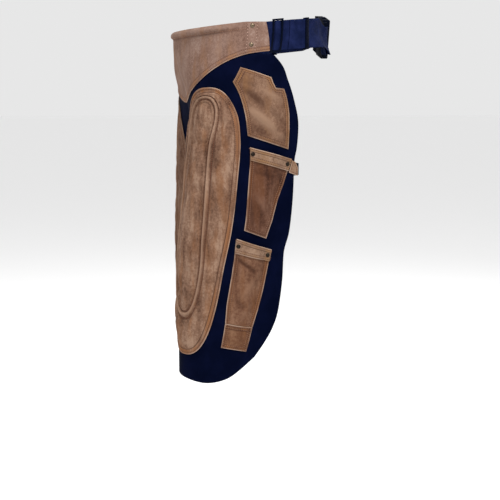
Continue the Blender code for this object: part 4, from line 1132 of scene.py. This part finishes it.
def quilted(side):
    """Simulates the flat suede between its seams. Returns a function that reads its lift at flat points."""
    turn = np.linspace(0, math.tau, 240, endpoint=False)
    rim = knee_outline(PATCH_SPAN, "patch", turn)
    outer_line = knee_point("patch", np.full(len(turn), OUTER_GROOVE - 0.03), turn)
    inner_line = knee_point("oval", np.full(len(turn), INNER_GROOVE + 0.04), turn)
    low, high = rim.min(axis=0) - 0.006, rim.max(axis=0) + 0.006
    counts = np.ceil((high - low) / QUILT_STEP).astype(int) + 1
    axes = [np.linspace(low[k], high[k], counts[k]) for k in (0, 1)]
    flat = np.stack(np.meshgrid(*axes, indexing="ij"), axis=-1)
    points = flat.reshape(-1, 2)
    lines = [np.concatenate([line, line[:1]]) for line in (rim, outer_line, inner_line)]
    from_rim, from_outer, from_inner = (distance_to([line], points) for line in lines)
    in_rim, in_outer, in_inner = (inside(line, points) for line in (rim, outer_line, inner_line))
    outer_field = in_rim & (from_rim > KNEE_BORDER) & ~in_outer
    away = np.where(outer_field, np.minimum(from_rim - KNEE_BORDER, from_outer), from_inner)
    free = outer_field | in_inner
    seat = np.where(from_rim < KNEE_BORDER, BORDER_SEAT, GROOVE_SEAT) * in_rim
    lift = np.where(free, FIELD_LOW + FIELD_RISE * smooth_step(away / FIELD_RUN), seat)
    lift += np.where(free, 0.0004 * wavelet(points, 21 + side, 0.011), 0.0)
    grid = np.arange(len(points)).reshape(counts)
    quads = np.stack([grid[:-1, :-1], grid[1:, :-1], grid[1:, 1:], grid[:-1, 1:]], axis=-1).reshape(-1, 4)
    mesh = bpy.data.meshes.new("quilt")
    mesh.from_pydata(np.column_stack([points, lift]).tolist(), [], quads.tolist())
    quilt = put("quilt", mesh)
    pinned = quilt.vertex_groups.new(name="pinned")
    pinned.add(np.flatnonzero(~free).tolist(), 1.0, "REPLACE")
    cloth = quilt.modifiers.new("cloth", "CLOTH")
    settings = cloth.settings
    settings.quality = 7
    settings.mass = 0.25
    settings.tension_stiffness = settings.compression_stiffness = 25.0
    settings.shear_stiffness = 12.0
    settings.bending_stiffness = 1.5
    settings.vertex_group_mass = "pinned"
    settings.shrink_min = -QUILT_SLACK
    settings.use_pressure = True
    settings.uniform_pressure_force = 4.0
    settings.effector_weights.gravity = 0.0
    for step in range(1, 21):
        bpy.context.scene.frame_set(step)
    blown = quilt.evaluated_get(bpy.context.evaluated_depsgraph_get()).data
    result = np.empty(len(points) * 3)
    blown.vertices.foreach_get("co", result)
    lift = result.reshape(-1, 3)[:, 2]
    bpy.data.objects.remove(quilt)
    bpy.data.meshes.remove(mesh)
    bpy.context.scene.frame_set(1)
    print("quilt", side, counts, "points, lift in the fields, mm:",
          (np.percentile(lift[free], [5, 50, 95]) * 1000).round(2))
    lift = np.clip(lift, 0.0004, QUILT_MOST).reshape(counts)

    def read(at):
        place = (at - low) / (high - low) * (counts - 1)
        corner = np.clip(np.floor(place).astype(int), 0, counts - 2)
        share = np.clip(place - corner, 0, 1)
        i, j, a, b = corner[..., 0], corner[..., 1], share[..., 0], share[..., 1]
        return ((lift[i, j] * (1 - a) + lift[i + 1, j] * a) * (1 - b)
                + (lift[i, j + 1] * (1 - a) + lift[i + 1, j + 1] * a) * b)
    return read


QUILTS = {side: quilted(side) for _, side in SIDES}


def knee_lift(zone, share, turn, side):
    """How far the padding lifts the suede: the simulated swell, and the drawn seams and cord."""
    share = np.asarray(share, float)
    flat = knee_point(zone, share, turn)
    if zone == "patch":
        drawn = through(PATCH_RINGS, "share", share).lift
        seamed = np.maximum(1 - smooth_step((share - 0.17) / 0.08), smooth_step((share - 0.76) / 0.07))
        pucker = np.exp(-((share - 0.20) / 0.06) ** 2) + np.exp(-((share - 0.80) / 0.07) ** 2)
    else:
        drawn = through(OVAL_RINGS, "share", share).lift
        seamed = 1 - smooth_step((share - 0.19) / 0.08)
        pucker = np.exp(-((share - 0.21) / 0.07) ** 2)
        fold = np.exp(-((share - 0.30) / 0.035) ** 2) - 0.6 * np.exp(-((share - 0.37) / 0.05) ** 2)
        drawn = drawn - 0.0013 * fold * np.exp(-(((turn + math.pi) % math.tau - math.pi) / 0.8) ** 2)
    lift = drawn * seamed + QUILTS[side](flat) * (1 - seamed)
    if side < 0:
        worn_flat = smooth_step((flat[..., 1] + 0.235) / 0.09)
        lift = lift * (1 - (1 - RIGHT_TOP_LIFT) * worn_flat)
    soft = np.clip(lift / 0.006, 0, 1)
    lift = lift + wavelet(flat, 5 + side, 0.017) * 0.00030 * soft
    lift = lift + wavelet(flat, 9 + side, 0.0050) * 0.00014 * soft
    run = flat[..., 1] + flat[..., 0] * 0.6
    return lift + 0.00022 * pucker * np.sin(run * math.tau / 0.0125 + 2.5 * wavelet(flat, 3, 0.03))


def knee_shade(zone, share):
    """Painted shade in the bottoms of the cord's two grooves, and a painted highlight on the cord between
    them.
    """
    middle, cord = (OUTER_GROOVE, 1.0) if zone == "patch" else (INNER_GROOVE, 0.0)
    return 0.8 * math.exp(-((share - cord) / 0.05) ** 2) - 1.0 * math.exp(-((share - middle) / 0.028) ** 2)


def knee_mesh(name, side):
    turn = np.linspace(0, math.tau, KNEE_POINTS, endpoint=False)
    place = leg_place(side)
    rings = [("patch", share) for share in PATCH_SHARES] + [("oval", share) for share in OVAL_SHARES]
    seat = PANEL + KNEE_LAP
    flats, tops = [], []
    # The right patch gets painted shade all over, added to each ring's painted shade and highlight.
    side_shade = RIGHT_PAINTED_SHADE if side < 0 else 0.0
    ring_shade = [knee_shade(zone, share) + side_shade for zone, share in rings]
    for zone, share in rings:
        flat = knee_point(zone, np.full(KNEE_POINTS, share), turn)
        flats.append(flat)
        tops.append(place(flat, seat + SUEDE + knee_lift(zone, np.full(KNEE_POINTS, share), turn, side)))
    under_flats = flats[::3] + [flats[-1]]
    under = [place(flat, np.full(KNEE_POINTS, seat)) for flat in under_flats]
    first = place(flats[0], np.full(KNEE_POINTS, seat + SUEDE - EDGE_ROUND))
    rows = [*tops[::-1], first, *under]
    flat_rows = [*flats[::-1], flats[0], *under_flats]
    half = KNEE_POINTS // 2
    for row in (rows[0], rows[-1]):
        for index in range(1, half):
            row[KNEE_POINTS - index] = row[index]
    points = np.concatenate(rows)
    flat_points = np.concatenate(flat_rows)
    index = np.arange(len(rows) * KNEE_POINTS).reshape(len(rows), KNEE_POINTS)
    quads = grid_quads(np.column_stack([index, index[:, :1]]))
    rim = flats[0]
    edge = distance_to([np.concatenate([rim, rim[:1]])[::2]], flat_points)
    wear = np.repeat(ring_shade[::-1] + [0.0] * (len(rows) - len(ring_shade)), KNEE_POINTS)
    return link_mesh(name, points, quads, flat_points, edge=edge, wear=wear)


def knee_seam(zone, distance, side):
    """A seam at a distance inside the patch's rim, or a share of a zone, as a flat line with its lift."""
    turn = np.linspace(0, math.tau, 720)
    rim, oval = knee_outline(PATCH_SPAN, "patch", turn), knee_outline(OVAL_SPAN, "oval", turn)
    if zone == "rim":
        zone, share = "patch", distance / np.linalg.norm(oval - rim, axis=1)
    else:
        share = np.full(len(turn), distance)
    flat = knee_point(zone, share, turn)
    return flat, PANEL + KNEE_LAP + SUEDE + knee_lift(zone, share, turn, side)


for side_name, side in SIDES:
    piece = knee_mesh(f"{side_name}_knee_pad", side)
    finish_piece(piece, SUEDES["knee"], "suede", f"{side_name}_knee_patch")
    rim_seams = [("rim", distance) for distance in KNEE_RIM_STITCHES]
    for zone, distance in (*rim_seams, ("patch", OUTER_GROOVE), ("oval", INNER_GROOVE)):
        flat, out = knee_seam(zone, distance, side)
        sew(f"{side_name}_knee", flat, leg_place(side), lambda _: out, "tan" if zone == "rim" else "rust")

# %% [markdown]
# Hip patches, pockets, bands and tabs are plain flat pieces, so each is a table of rows from its
# inner edge to its outer one, graded into a fine grid. A pocket stands off the panel at its open
# mouth, and comes down to lie flat at its sides and its foot.

# %% Flat suede pieces
Strip = namedtuple("Strip", "in_across in_level out_across out_level")
HIP_PATCH = [Strip(*row) for row in (
    (0.1840, -0.0594, 0.2320, -0.0852), (0.1650, -0.0760, 0.2300, -0.0972),
    (0.1480, -0.0905, 0.2310, -0.1079),
    (0.1478, -0.0950, 0.2490, -0.1098), (0.1494, -0.1187, 0.2497, -0.1310),
    (0.1515, -0.1518, 0.2505, -0.1620),
    (0.1575, -0.2072, 0.2500, -0.2370),
)]
MIDDLE_BAND = [Strip(*row) for row in (
    (0.1629, -0.2312, 0.2590, -0.2578), (0.1658, -0.2589, 0.2520, -0.2836),
)]
MIDDLE_POCKET = [Strip(*row) for row in (
    (0.1640, -0.2345, 0.2560, -0.2610), (0.1655, -0.2650, 0.2500, -0.2880),
    (0.1650, -0.2960, 0.2440, -0.3100),
    (0.1648, -0.3413, 0.2326, -0.3452), (0.1652, -0.3885, 0.2240, -0.3900),
    (0.1641, -0.4096, 0.2145, -0.4285),
)]
LOWER_BAND = [Strip(*row) for row in (
    (0.1493, -0.4267, 0.2284, -0.4529), (0.1489, -0.4585, 0.2242, -0.4779),
)]
LOWER_POCKET = [Strip(*row) for row in (
    (0.1485, -0.4300, 0.2265, -0.4560), (0.1470, -0.4700, 0.2230, -0.4835),
    (0.1428, -0.5081, 0.2170, -0.5200),
    (0.1380, -0.5420, 0.2110, -0.5500), (0.1336, -0.5726, 0.2020, -0.5850),
    (0.1310, -0.6116, 0.1904, -0.6223),
)]
POCKET_FOOT = [Strip(*row) for row in (
    (0.1309, -0.6122, 0.1902, -0.6229), (0.1270, -0.6380, 0.1840, -0.6480),
    (0.1220, -0.6653, 0.1764, -0.6755),
)]
STRAP_TAB = [Strip(*row) for row in (
    (0.2610, -0.2612, 0.2690, -0.2640), (0.2590, -0.2700, 0.2765, -0.2780),
    (0.2550, -0.2870, 0.2765, -0.2945),
)]
MOUTH_STAND = 0.013
POCKET_FLANGE = 0.13
MIDDLE_FLAT, LOWER_FLAT = -0.430, -0.660
HIP_CREASES = [Crease(*row) for row in (
    (0.160, -0.106, 0.200, -0.148, 0.0088, -0.0024),
    (0.158, -0.146, 0.218, -0.196, 0.0095, 0.0034),
    (0.206, -0.146, 0.242, -0.190, 0.0090, -0.0012),
    (0.190, -0.104, 0.238, -0.138, 0.0080, 0.0018),
    (0.172, -0.092, 0.196, -0.108, 0.0060, -0.0012),
    (0.165, -0.186, 0.206, -0.212, 0.0070, -0.0014),
    (0.212, -0.196, 0.240, -0.214, 0.0070, 0.0013),
)]
POCKET_CREASES = [Crease(*row) for row in (
    (0.175, -0.283, 0.228, -0.300, 0.0050, -0.0013),
    (0.180, -0.328, 0.207, -0.372, 0.0065, 0.0014),
    (0.170, -0.345, 0.184, -0.402, 0.0055, -0.0013),
    (0.148, -0.467, 0.192, -0.500, 0.0042, -0.0024),
    (0.188, -0.492, 0.196, -0.536, 0.0045, -0.0014),
    (0.202, -0.500, 0.160, -0.562, 0.0065, 0.0017),
    (0.148, -0.558, 0.190, -0.592, 0.0060, -0.0011),
    (0.186, -0.566, 0.160, -0.606, 0.0052, 0.0012),
)]


def strip_grid(table, step, columns):
    """Flat grid of a piece: its rows with more put in between, each straight from edge to edge."""
    rows = np.array(table, float)
    fine = [rows[:1]]
    for here, there in zip(rows, rows[1:]):
        count = max(1, math.ceil(max(abs(there[1] - here[1]), abs(there[3] - here[3])) / step))
        shares = np.arange(1, count + 1)[:, None] / count
        fine.append(here + (there - here) * shares)
    fine = np.concatenate(fine)
    share = np.linspace(0, 1, columns + 1)[None, :, None]
    return fine[:, None, 0:2] * (1 - share) + fine[:, None, 2:4] * share


def pocket_stand(table, foot):
    """How far a pocket stands off the panel, over flat points."""
    top = max(table[0].in_level, table[0].out_level)
    inner_rows = [Edge(row.in_across, row.in_level) for row in table]
    outer_rows = [Edge(row.out_across, row.out_level) for row in table]

    def stand(flat):
        across, level = flat[..., 0], flat[..., 1]
        inner = through(inner_rows, "level", level).across
        outer = through(outer_rows, "level", level).across
        share = (across - inner) / (outer - inner)
        within = np.clip((share - POCKET_FLANGE) / (1 - 2 * POCKET_FLANGE), 0.0, 1.0)
        height = np.clip((level - foot) / (top - foot), 0.0, 1.0)
        return MOUTH_STAND * np.sin(math.pi * within) ** 1.2 * height ** 0.6
    return stand


def outline_of(table):
    """Corner points down the inner edge, along the foot and up the outer edge."""
    rows = np.array(table, float)
    return np.concatenate([rows[:, 0:2], rows[::-1, 2:4]])


Sewing = namedtuple("Sewing", "edges seams")
SEWING = {
    "all": Sewing(("round",), (("round", 0.0034), ("round", 0.0080))),
    "small": Sewing(("round",), (("round", 0.0030),)),
    "open": Sewing(("down",), (("down", 0.0032), ("down", 0.0078))),
    "sides": Sewing(("inner", "outer"), (("inner", 0.0032), ("inner", 0.0078),
                                         ("outer", 0.0032), ("outer", 0.0078))),
    "long": Sewing(("top", "foot"), (("top", 0.0030), ("foot", 0.0030), ("foot", 0.0075))),
}
Piece = namedtuple("Piece", "name table seat bulge creases look flat sewn rests cross", defaults=((),))
MIDDLE_STAND = pocket_stand(MIDDLE_POCKET, MIDDLE_FLAT)
LOWER_STAND = pocket_stand(LOWER_POCKET + POCKET_FOOT[1:], LOWER_FLAT)
FLAT_PIECES = [Piece(*row) for row in (
    ("hip_patch", HIP_PATCH, ON_PANEL, None, HIP_CREASES, "hip", (0.105, 0.180), "all", "leather_panel"),
    ("middle_pocket", MIDDLE_POCKET, ON_PANEL, MIDDLE_STAND, POCKET_CREASES, "middle pocket",
     (0.105, 0.180), "open", "leather_panel"),
    ("lower_pocket", LOWER_POCKET, ON_PANEL, LOWER_STAND, POCKET_CREASES, "pocket",
     (0.095, 0.190), "sides", "leather_panel"),
    ("pocket_foot", POCKET_FOOT, ON_PANEL, LOWER_STAND, POCKET_CREASES, "pocket foot",
     (0.062, 0.058), "all", "leather_panel", (0.0030, 0.0092)),
    ("middle_band", MIDDLE_BAND, ON_POCKET, MIDDLE_STAND, (), "band", (0.105, 0.030), "long",
     "middle_pocket_shell"),
    ("lower_band", LOWER_BAND, ON_POCKET, LOWER_STAND, (), "band", (0.090, 0.034), "long",
     "lower_pocket_shell"),
    ("strap_tab", STRAP_TAB, ON_PANEL, None, (), "strap tab", (0.022, 0.033), "small", "leather_panel"),
)]
FINE_STEP = 0.0022


def flat_shell(side_name, side, piece):
    grid = strip_grid(piece.table, FINE_STEP, max(6, round(piece.flat[0] / FINE_STEP)))
    corners = outline_of(piece.table)
    count = len(piece.table)
    closed = np.concatenate([corners, corners[:1]])
    lines = {"round": corners, "down": corners, "inner": corners[:count], "outer": corners[count:],
             "top": corners[[-1, 0]], "foot": corners[count - 1:count + 1]}
    sewing = SEWING[piece.sewn]
    edge = [closed if line == "round" else lines[line] for line in sewing.edges]

    def stand(flat):
        return piece.bulge(flat) if piece.bulge else 0.0

    def wrinkle(flat):
        away = np.clip(distance_to([closed], flat.reshape(-1, 2)).reshape(flat.shape[:-1]) / 0.009, 0, 1)
        return crease_rise(piece.creases, flat[..., 0], flat[..., 1]) * smooth_step(away)

    def outer(flat):
        return piece.seat + SUEDE + stand(flat) + wrinkle(flat)

    def inner(flat):
        return piece.seat + stand(flat) + np.maximum(wrinkle(flat) - 0.0002, 0.0)

    # Painted shade in the creases' dips, a painted highlight on their ridges, and darker lines across the
    # piece at the `cross` distances from its top.
    def wear(flat):
        total = shade_by_rise(wrinkle(flat))
        from_top = distance_to([lines["top"]], flat.reshape(-1, 2)).reshape(flat.shape[:-1])
        for seam in piece.cross:
            total = total - 1.2 * np.exp(-((from_top - seam) / 0.0016) ** 2)
        return total

    made = shell(f"{side_name}_{piece.name}_shell", grid, leg_place(side), inner, outer, edge=edge, wear=wear)
    finish_piece(made, SUEDES[piece.look], "suede", f"{side_name}_{piece.name}")
    for line, distance in sewing.seams:
        whole = line == "round"
        seam = evenly(inset_path(lines[line], distance, closed=whole), closed=whole)
        sew(f"{side_name}_patches", seam, leg_place(side), outer)
    return outer


FACES = {}
for side_name, side in SIDES:
    for piece in FLAT_PIECES:
        FACES[side_name, piece.name] = flat_shell(side_name, side, piece)

# %% [markdown]
# The belt is one webbing strap on each side. It starts behind the yoke, rises over the slider's
# middle bar, turns round the buckle's bar and comes back on itself through the keeper. Ribbons are
# modelled directly, as a line of stations with the strap's width at each.

# %% Belt and leg straps
WEBBING = 0.0020
BELT_WIDTH = 0.062
BELT_START = 0.257
TAIL_END = 0.333
TAIL_OUT = 0.0034
TAIL_CLOSE = 0.050
STRAIGHT_RUN = 0.075
SLIDER_BARS = ((0.2922, 0.2962), (0.3022, 0.3062), (0.3122, 0.3162))
SLIDER_RISE = 0.0027
SLIDER_SLACK = 0.0012
BUCKLE_LENGTH = 0.088
BUCKLE_INNER = 0.169
BUCKLE_DROP = 0.006
BUCKLE_SKEW = math.radians(14.0)
SKEW_REACH = (0.050, 0.105)
BAR_THICK, BAR_DEEP = 0.0035, 0.0070
TURN_RADIUS = 0.0052
WAIST_TILT = 0.104
BAR_X, BAR_Y = BUCKLE_LENGTH / 2 - BAR_THICK / 2, BUCKLE_INNER + BAR_DEEP / 2


def skewed(points):
    """The belt near the buckle drops a little and takes up the buckle's skew."""
    start, end = SKEW_REACH
    share = smooth_step((end - np.abs(points[..., 0])) / (end - start))
    angle = BUCKLE_SKEW * share
    middle = BUCKLE_INNER * WAIST_TILT
    height = points[..., 2] - middle
    x = points[..., 0] * np.cos(angle) + height * np.sin(angle)
    z = middle + height * np.cos(angle) - points[..., 0] * np.sin(angle) - BUCKLE_DROP * share
    return np.stack([x, points[..., 1], z], axis=-1)


def bar_girth():
    """Girth at the back of the waist where the left half's x has come down to the buckle's bar."""
    low, high = 0.30, 0.56
    for _ in range(40):
        middle = (low + high) / 2
        if on_waist(middle, 0.0)[0] > BAR_X:
            low = middle
        else:
            high = middle
    return low


BAR_GIRTH = bar_girth()


def strap_out(girth):
    """Middle of the belt's inner layer: over the slider's middle bar, then straight to the buckle."""
    first, middle, last = SLIDER_BARS
    up = smooth_step((girth - first[1] - SLIDER_SLACK) / (middle[0] - first[1] - 2 * SLIDER_SLACK))
    down = 1 - smooth_step((girth - middle[1] - SLIDER_SLACK) / (last[0] - middle[1] - 2 * SLIDER_SLACK))
    rise = np.where(girth < (middle[0] + middle[1]) / 2, up, down)
    arrive = BAR_Y - TURN_RADIUS - on_waist(BAR_GIRTH, 0.0, WEBBING / 2)[1]
    lift = arrive * smooth_step((girth - BAR_GIRTH + STRAIGHT_RUN) / STRAIGHT_RUN)
    return WEBBING / 2 + SLIDER_RISE * rise + lift


def belt_spine(level, side):
    """World points down the middle of one half of the belt at one level."""
    out_run = np.concatenate([np.linspace(BELT_START, 0.290, 8), np.linspace(0.2925, 0.3165, 30),
                              np.linspace(0.3185, BAR_GIRTH, 70)[:-1]])
    points = on_waist(out_run, level, strap_out(out_run))
    height = level + WAIST_TILT * BAR_Y
    turn = np.linspace(0, math.pi, 20)
    bend = np.stack([BAR_X - TURN_RADIUS * np.sin(turn), BAR_Y - TURN_RADIUS * np.cos(turn),
                     np.full(len(turn), height)], axis=1)
    spread = BAR_Y + TURN_RADIUS - on_waist(BAR_GIRTH, 0.0, TAIL_OUT)[1]
    back = np.linspace(BAR_GIRTH, TAIL_END, 70)[1:]
    near = 1 - smooth_step((BAR_GIRTH - back) / TAIL_CLOSE)
    out = TAIL_OUT + np.maximum(strap_out(back) - WEBBING / 2, spread * near)
    tail = on_waist(back, level, out)
    points = np.concatenate([points, bend, tail])
    return skewed(points * [side, 1, 1])


def ribbon(name, spines, levels, look, node):
    """A webbing strap with rounded selvedges from its middle line at each level."""
    thick = np.full(len(levels), WEBBING / 2)
    thick[[0, -1]] *= 0.45
    outer, inner = [], []
    for spine, half in zip(spines, thick):
        along = np.gradient(spine, axis=0)
        square = np.stack([along[:, 1], -along[:, 0], np.zeros(len(along))], axis=1)
        square /= np.linalg.norm(square, axis=1, keepdims=True)
        outer.append(spine + square * half)
        inner.append(spine - square * half)
    outer, inner = np.array(outer), np.array(inner)
    rows, columns = outer.shape[:2]
    middle = spines[len(spines) // 2]
    run = np.concatenate([[0], np.cumsum(np.linalg.norm(np.diff(middle, axis=0), axis=1))])
    flat = np.stack(np.broadcast_arrays(run[None, :], np.asarray(levels)[:, None]), axis=-1).reshape(-1, 2)
    grid = np.arange(rows * columns).reshape(rows, columns)
    quads = grid_quads(grid)
    rim = rim_of(rows, columns)
    loop = grid[rim[:, 0], rim[:, 1]]
    count = rows * columns
    band = np.stack([loop, loop + count, np.roll(loop, -1) + count, np.roll(loop, -1)], axis=-1)
    faces = np.concatenate([quads, quads[:, ::-1] + count, band])
    points = np.concatenate([outer.reshape(-1, 3), inner.reshape(-1, 3)])
    made = link_mesh(name, points, faces, np.concatenate([flat, flat]))
    finish_piece(made, look, "webbing", node)
    return made, float(run[-1])


def strap_levels(width, middle=0.0, count=15):
    """Levels across a strap, closer together at its selvedges."""
    place = np.linspace(-1, 1, count)
    return middle + width / 2 * np.sign(place) * (1 - (1 - np.abs(place)) ** 1.6)


STRAP_LEVEL, STRAP_WIDTH = -0.282, 0.025
STRAP_ROUTE = [(0.1840, 0.0350), (0.1788, 0.0580), (0.1650, 0.0800), (0.1350, 0.0900), (0.0950, 0.0830),
               (0.0550, 0.0580), (0.0280, 0.0200), (0.0120, -0.0300), (0.0065, -0.0700), (0.0085, -0.0885),
               (0.0155, -0.0985)]

for (side_name, side), buckle_half in zip(SIDES, ("buckle_socket", "buckle_plug")):
    levels = strap_levels(BELT_WIDTH)
    belt, length = ribbon(f"{side_name}_belt_web", [belt_spine(level, side) for level in levels], levels,
                          BELT_WEB, f"{side_name}_belt")
    levels = strap_levels(STRAP_WIDTH, STRAP_LEVEL)
    route = spread_on(fine_curve(STRAP_ROUTE), np.linspace(0, 1, 90))
    spines = [np.stack([side * route[:, 0],
                        route[:, 1] + (STEP_BACK * (CROTCH - level) if side < 0 else 0.0),
                        np.full(len(route), level)], axis=1) for level in levels]
    strap, length = ribbon(f"{side_name}_leg_web", spines, levels, LEG_WEB, f"{side_name}_leg_strap")

# %% [markdown]
# The buckle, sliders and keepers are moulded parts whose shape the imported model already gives. Real
# mouldings have no sharp edges, so a copy of each gets its faces joined and its edges rounded, which
# catches the thin highlights that make plastic read as plastic.

# %% Moulded trim
MOULDED = ["buckle_socket", "buckle_plug"]
MOULDED += [f"{side_name}_{part}" for side_name, _ in SIDES for part in ("slider", "keeper")]
MOULD_ROUND = 0.0003


def rounded_copy(node, width):
    """A copy of a node with its flat faces joined and its edges rounded."""
    work = bmesh.new()
    work.from_mesh(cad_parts[node].data)
    bmesh.ops.remove_doubles(work, verts=work.verts, dist=0.00002)
    bmesh.ops.dissolve_limit(work, angle_limit=math.radians(1.5), verts=work.verts, edges=work.edges)
    mesh = bpy.data.meshes.new(f"{node}_moulded")
    work.to_mesh(mesh)
    work.free()
    made = put(f"{node}_moulded", mesh)
    bevel = made.modifiers.new("round", "BEVEL")
    bevel.width = width
    bevel.segments = 2
    bevel.limit_method = "ANGLE"
    bevel.angle_limit = math.radians(30)
    bpy.context.view_layer.update()
    finished = bpy.data.meshes.new_from_object(made.evaluated_get(bpy.context.evaluated_depsgraph_get()))
    made.modifiers.remove(bevel)
    made.data = finished
    finished.shade_smooth()
    finished.set_sharp_from_angle(angle=math.radians(35))
    return made


for node in MOULDED:
    piece = rounded_copy(node, MOULD_ROUND)
    finish_piece(piece, PLASTIC, "plastic", node)

# %% [markdown]
# Rivets hold what stitches alone can't: the belt's ends at the yoke and the corners of the pockets.
# They sit on the same faces as the seams, so the same tables place them.

# %% Rivets
Seat = namedtuple("Seat", "piece place level")
RIVETS = [Seat(*row) for row in (
    ("yoke", 0.2495, 0.0255), ("yoke", 0.2495, -0.0140), ("middle_band", 0.1697, -0.2460),
    ("middle_band", 0.2490, -0.2685), ("lower_band", 0.1538, -0.4430), ("lower_band", 0.2193, -0.4640),
)]
for side_name, side in SIDES:
    for group, metal in (("yoke", BRASS), ("pocket", DARK_BRASS)):
        seats, nodes = [], []
        for number, seat in enumerate(RIVETS, 1):
            if (seat.piece == "yoke") != (group == "yoke"):
                continue
            flat = np.array([[seat.place, seat.level]])
            if group == "yoke":
                seats.append(seam_line(flat * [side, 1], yoke_place, yoke_outer, 0.0))
            else:
                seats.append(seam_line(flat, leg_place(side), FACES[side_name, seat.piece], 0.0))
            nodes.append(f"{side_name}_rivet_{number}")
        piece = grow(f"{side_name}_{group}_rivets", seats, RIVET_TREE, {"Metal": metal})
        finish_piece(piece, metal, "brass", *nodes)

# %% Stitches
THREADS = {
    "tan": {"Thread": THREAD},
    "rust": {"Thread": RUST_THREAD},
    "pale": {"Thread": PALE_THREAD, "Pitch": 0.0058, "Size": (0.0019, 0.0011, 0.0007)},
}
for (where, thread), lines in SEAMS.items():
    piece = grow(f"{where}_{thread}_stitches", lines, STITCH_TREE, THREADS[thread])
    finish_piece(piece, THREADS[thread]["Thread"], "suede")

# %% Finish
pale, _, pale_shader, _ = material_base("pale floor")
pale_shader.inputs["Base Color"].default_value = (FLOOR_GREY, FLOOR_GREY, FLOOR_GREY, 1)
pale_shader.inputs["Roughness"].default_value = 0.9
floor.data.materials.append(pale)

final_box = [list(corner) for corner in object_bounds()]
print("final box, metres:", [[round(value, 4) for value in corner] for corner in final_box])
